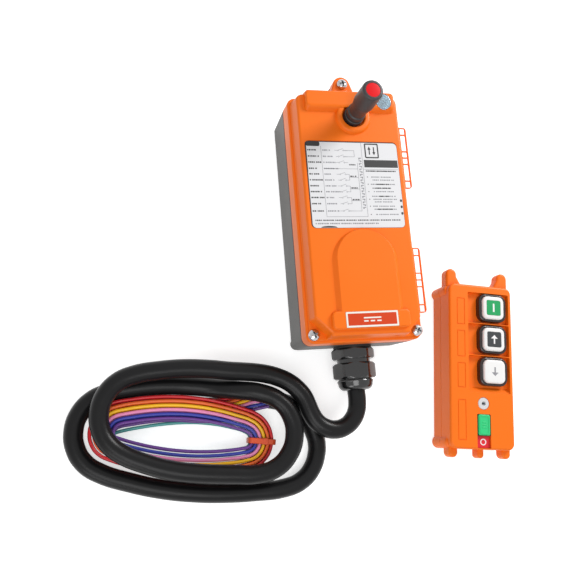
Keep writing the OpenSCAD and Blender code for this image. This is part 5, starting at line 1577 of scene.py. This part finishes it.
def even_light(g):
    """The even light from all round, white where it is seen."""
    made = bpy.data.worlds.new("even_light")
    made.use_nodes = True
    nodes, links = made.node_tree.nodes, made.node_tree.links
    nodes.clear()
    even = nodes.new("ShaderNodeBackground")
    even.inputs["Strength"].default_value = g.sky
    white = nodes.new("ShaderNodeBackground")
    white.inputs["Color"].default_value = (1, 1, 1, 1)
    white.inputs["Strength"].default_value = 1.0
    out = nodes.new("ShaderNodeOutputWorld")
    links.new(seen_white(made.node_tree, even.outputs[0], white.outputs[0]), out.inputs["Surface"])
    return made


class OBJECT_OT_remote_stage(bpy.types.Operator):
    """Makes the floor, the lamps and the even light"""
    bl_idname = "remote.stage"
    bl_label = "Stage"

    def execute(self, context):
        g = sizes("stage")
        scene = context.scene
        scene.view_settings.view_transform = "Standard"
        bm = bmesh.new()
        bm.faces.new([bm.verts.new(p) for p in level(rect(FLOOR_SIDE, FLOOR_SIDE), -FLOOR_DROP)])
        floor = solid(bm)
        floor.name = "floor"
        floor.data.materials.append(floor_paper(g))
        scene.world = even_light(g)
        for name, (place, size, share) in LAMPS.items():
            data = bpy.data.lights.new(name, "AREA")
            data.shape = "DISK"
            data.size = size
            data.energy = g.key * share
            lamp = bpy.data.objects.new(name, data)
            lamp.location = place
            lamp.rotation_mode = "QUATERNION"
            lamp.rotation_quaternion = (LAMP_AIM - Vector(place)).to_track_quat("-Z", "Y")
            scene.collection.objects.link(lamp)
        return {"FINISHED"}


GROUPS = {"receiver": ReceiverSizes, "transmitter": TransmitterSizes, "cable": CableSizes,
          "finishes": Finishes, "stage": StageSettings}
OPERATORS = (OBJECT_OT_remote_camera, OBJECT_OT_remote_cable, OBJECT_OT_remote_tie, OBJECT_OT_remote_cores,
             OBJECT_OT_remote_case, OBJECT_OT_remote_cover, OBJECT_OT_remote_label, OBJECT_OT_remote_plate,
             OBJECT_OT_remote_window, OBJECT_OT_remote_antenna, OBJECT_OT_remote_screws,
             OBJECT_OT_remote_gland, OBJECT_OT_remote_inner, OBJECT_OT_remote_tx_front,
             OBJECT_OT_remote_tx_back, OBJECT_OT_remote_buttons, OBJECT_OT_remote_slider,
             OBJECT_OT_remote_stage)


class VIEW3D_PT_remote(bpy.types.Panel):
    """Sizes, colours and steps of the remote control"""
    bl_idname = "VIEW3D_PT_remote"
    bl_label = "Crane remote control"
    bl_space_type = "VIEW_3D"
    bl_region_type = "UI"
    bl_category = "Remote"

    def draw(self, context):
        for kind in GROUPS:
            part = self.layout.box()
            part.label(text=kind.capitalize())
            for name in GROUPS[kind].__annotations__:
                part.prop(sizes(kind), name)
        for step in OPERATORS:
            self.layout.operator(step.bl_idname)


def register():
    for kind, group in GROUPS.items():
        bpy.utils.register_class(group)
        setattr(bpy.types.Scene, "remote_" + kind, bpy.props.PointerProperty(type=group))
    for step in OPERATORS:
        bpy.utils.register_class(step)
    bpy.utils.register_class(VIEW3D_PT_remote)


def unregister():
    bpy.utils.unregister_class(VIEW3D_PT_remote)
    for step in reversed(OPERATORS):
        bpy.utils.unregister_class(step)
    for kind, group in reversed(GROUPS.items()):
        delattr(bpy.types.Scene, "remote_" + kind)
        bpy.utils.unregister_class(group)


def main():
    """Builds the whole scene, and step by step."""
    register()
    make_finishes()
    for step in OPERATORS:
        getattr(bpy.ops.remote, step.bl_idname.split(".")[1])()


if __name__ == "__main__":
    main()
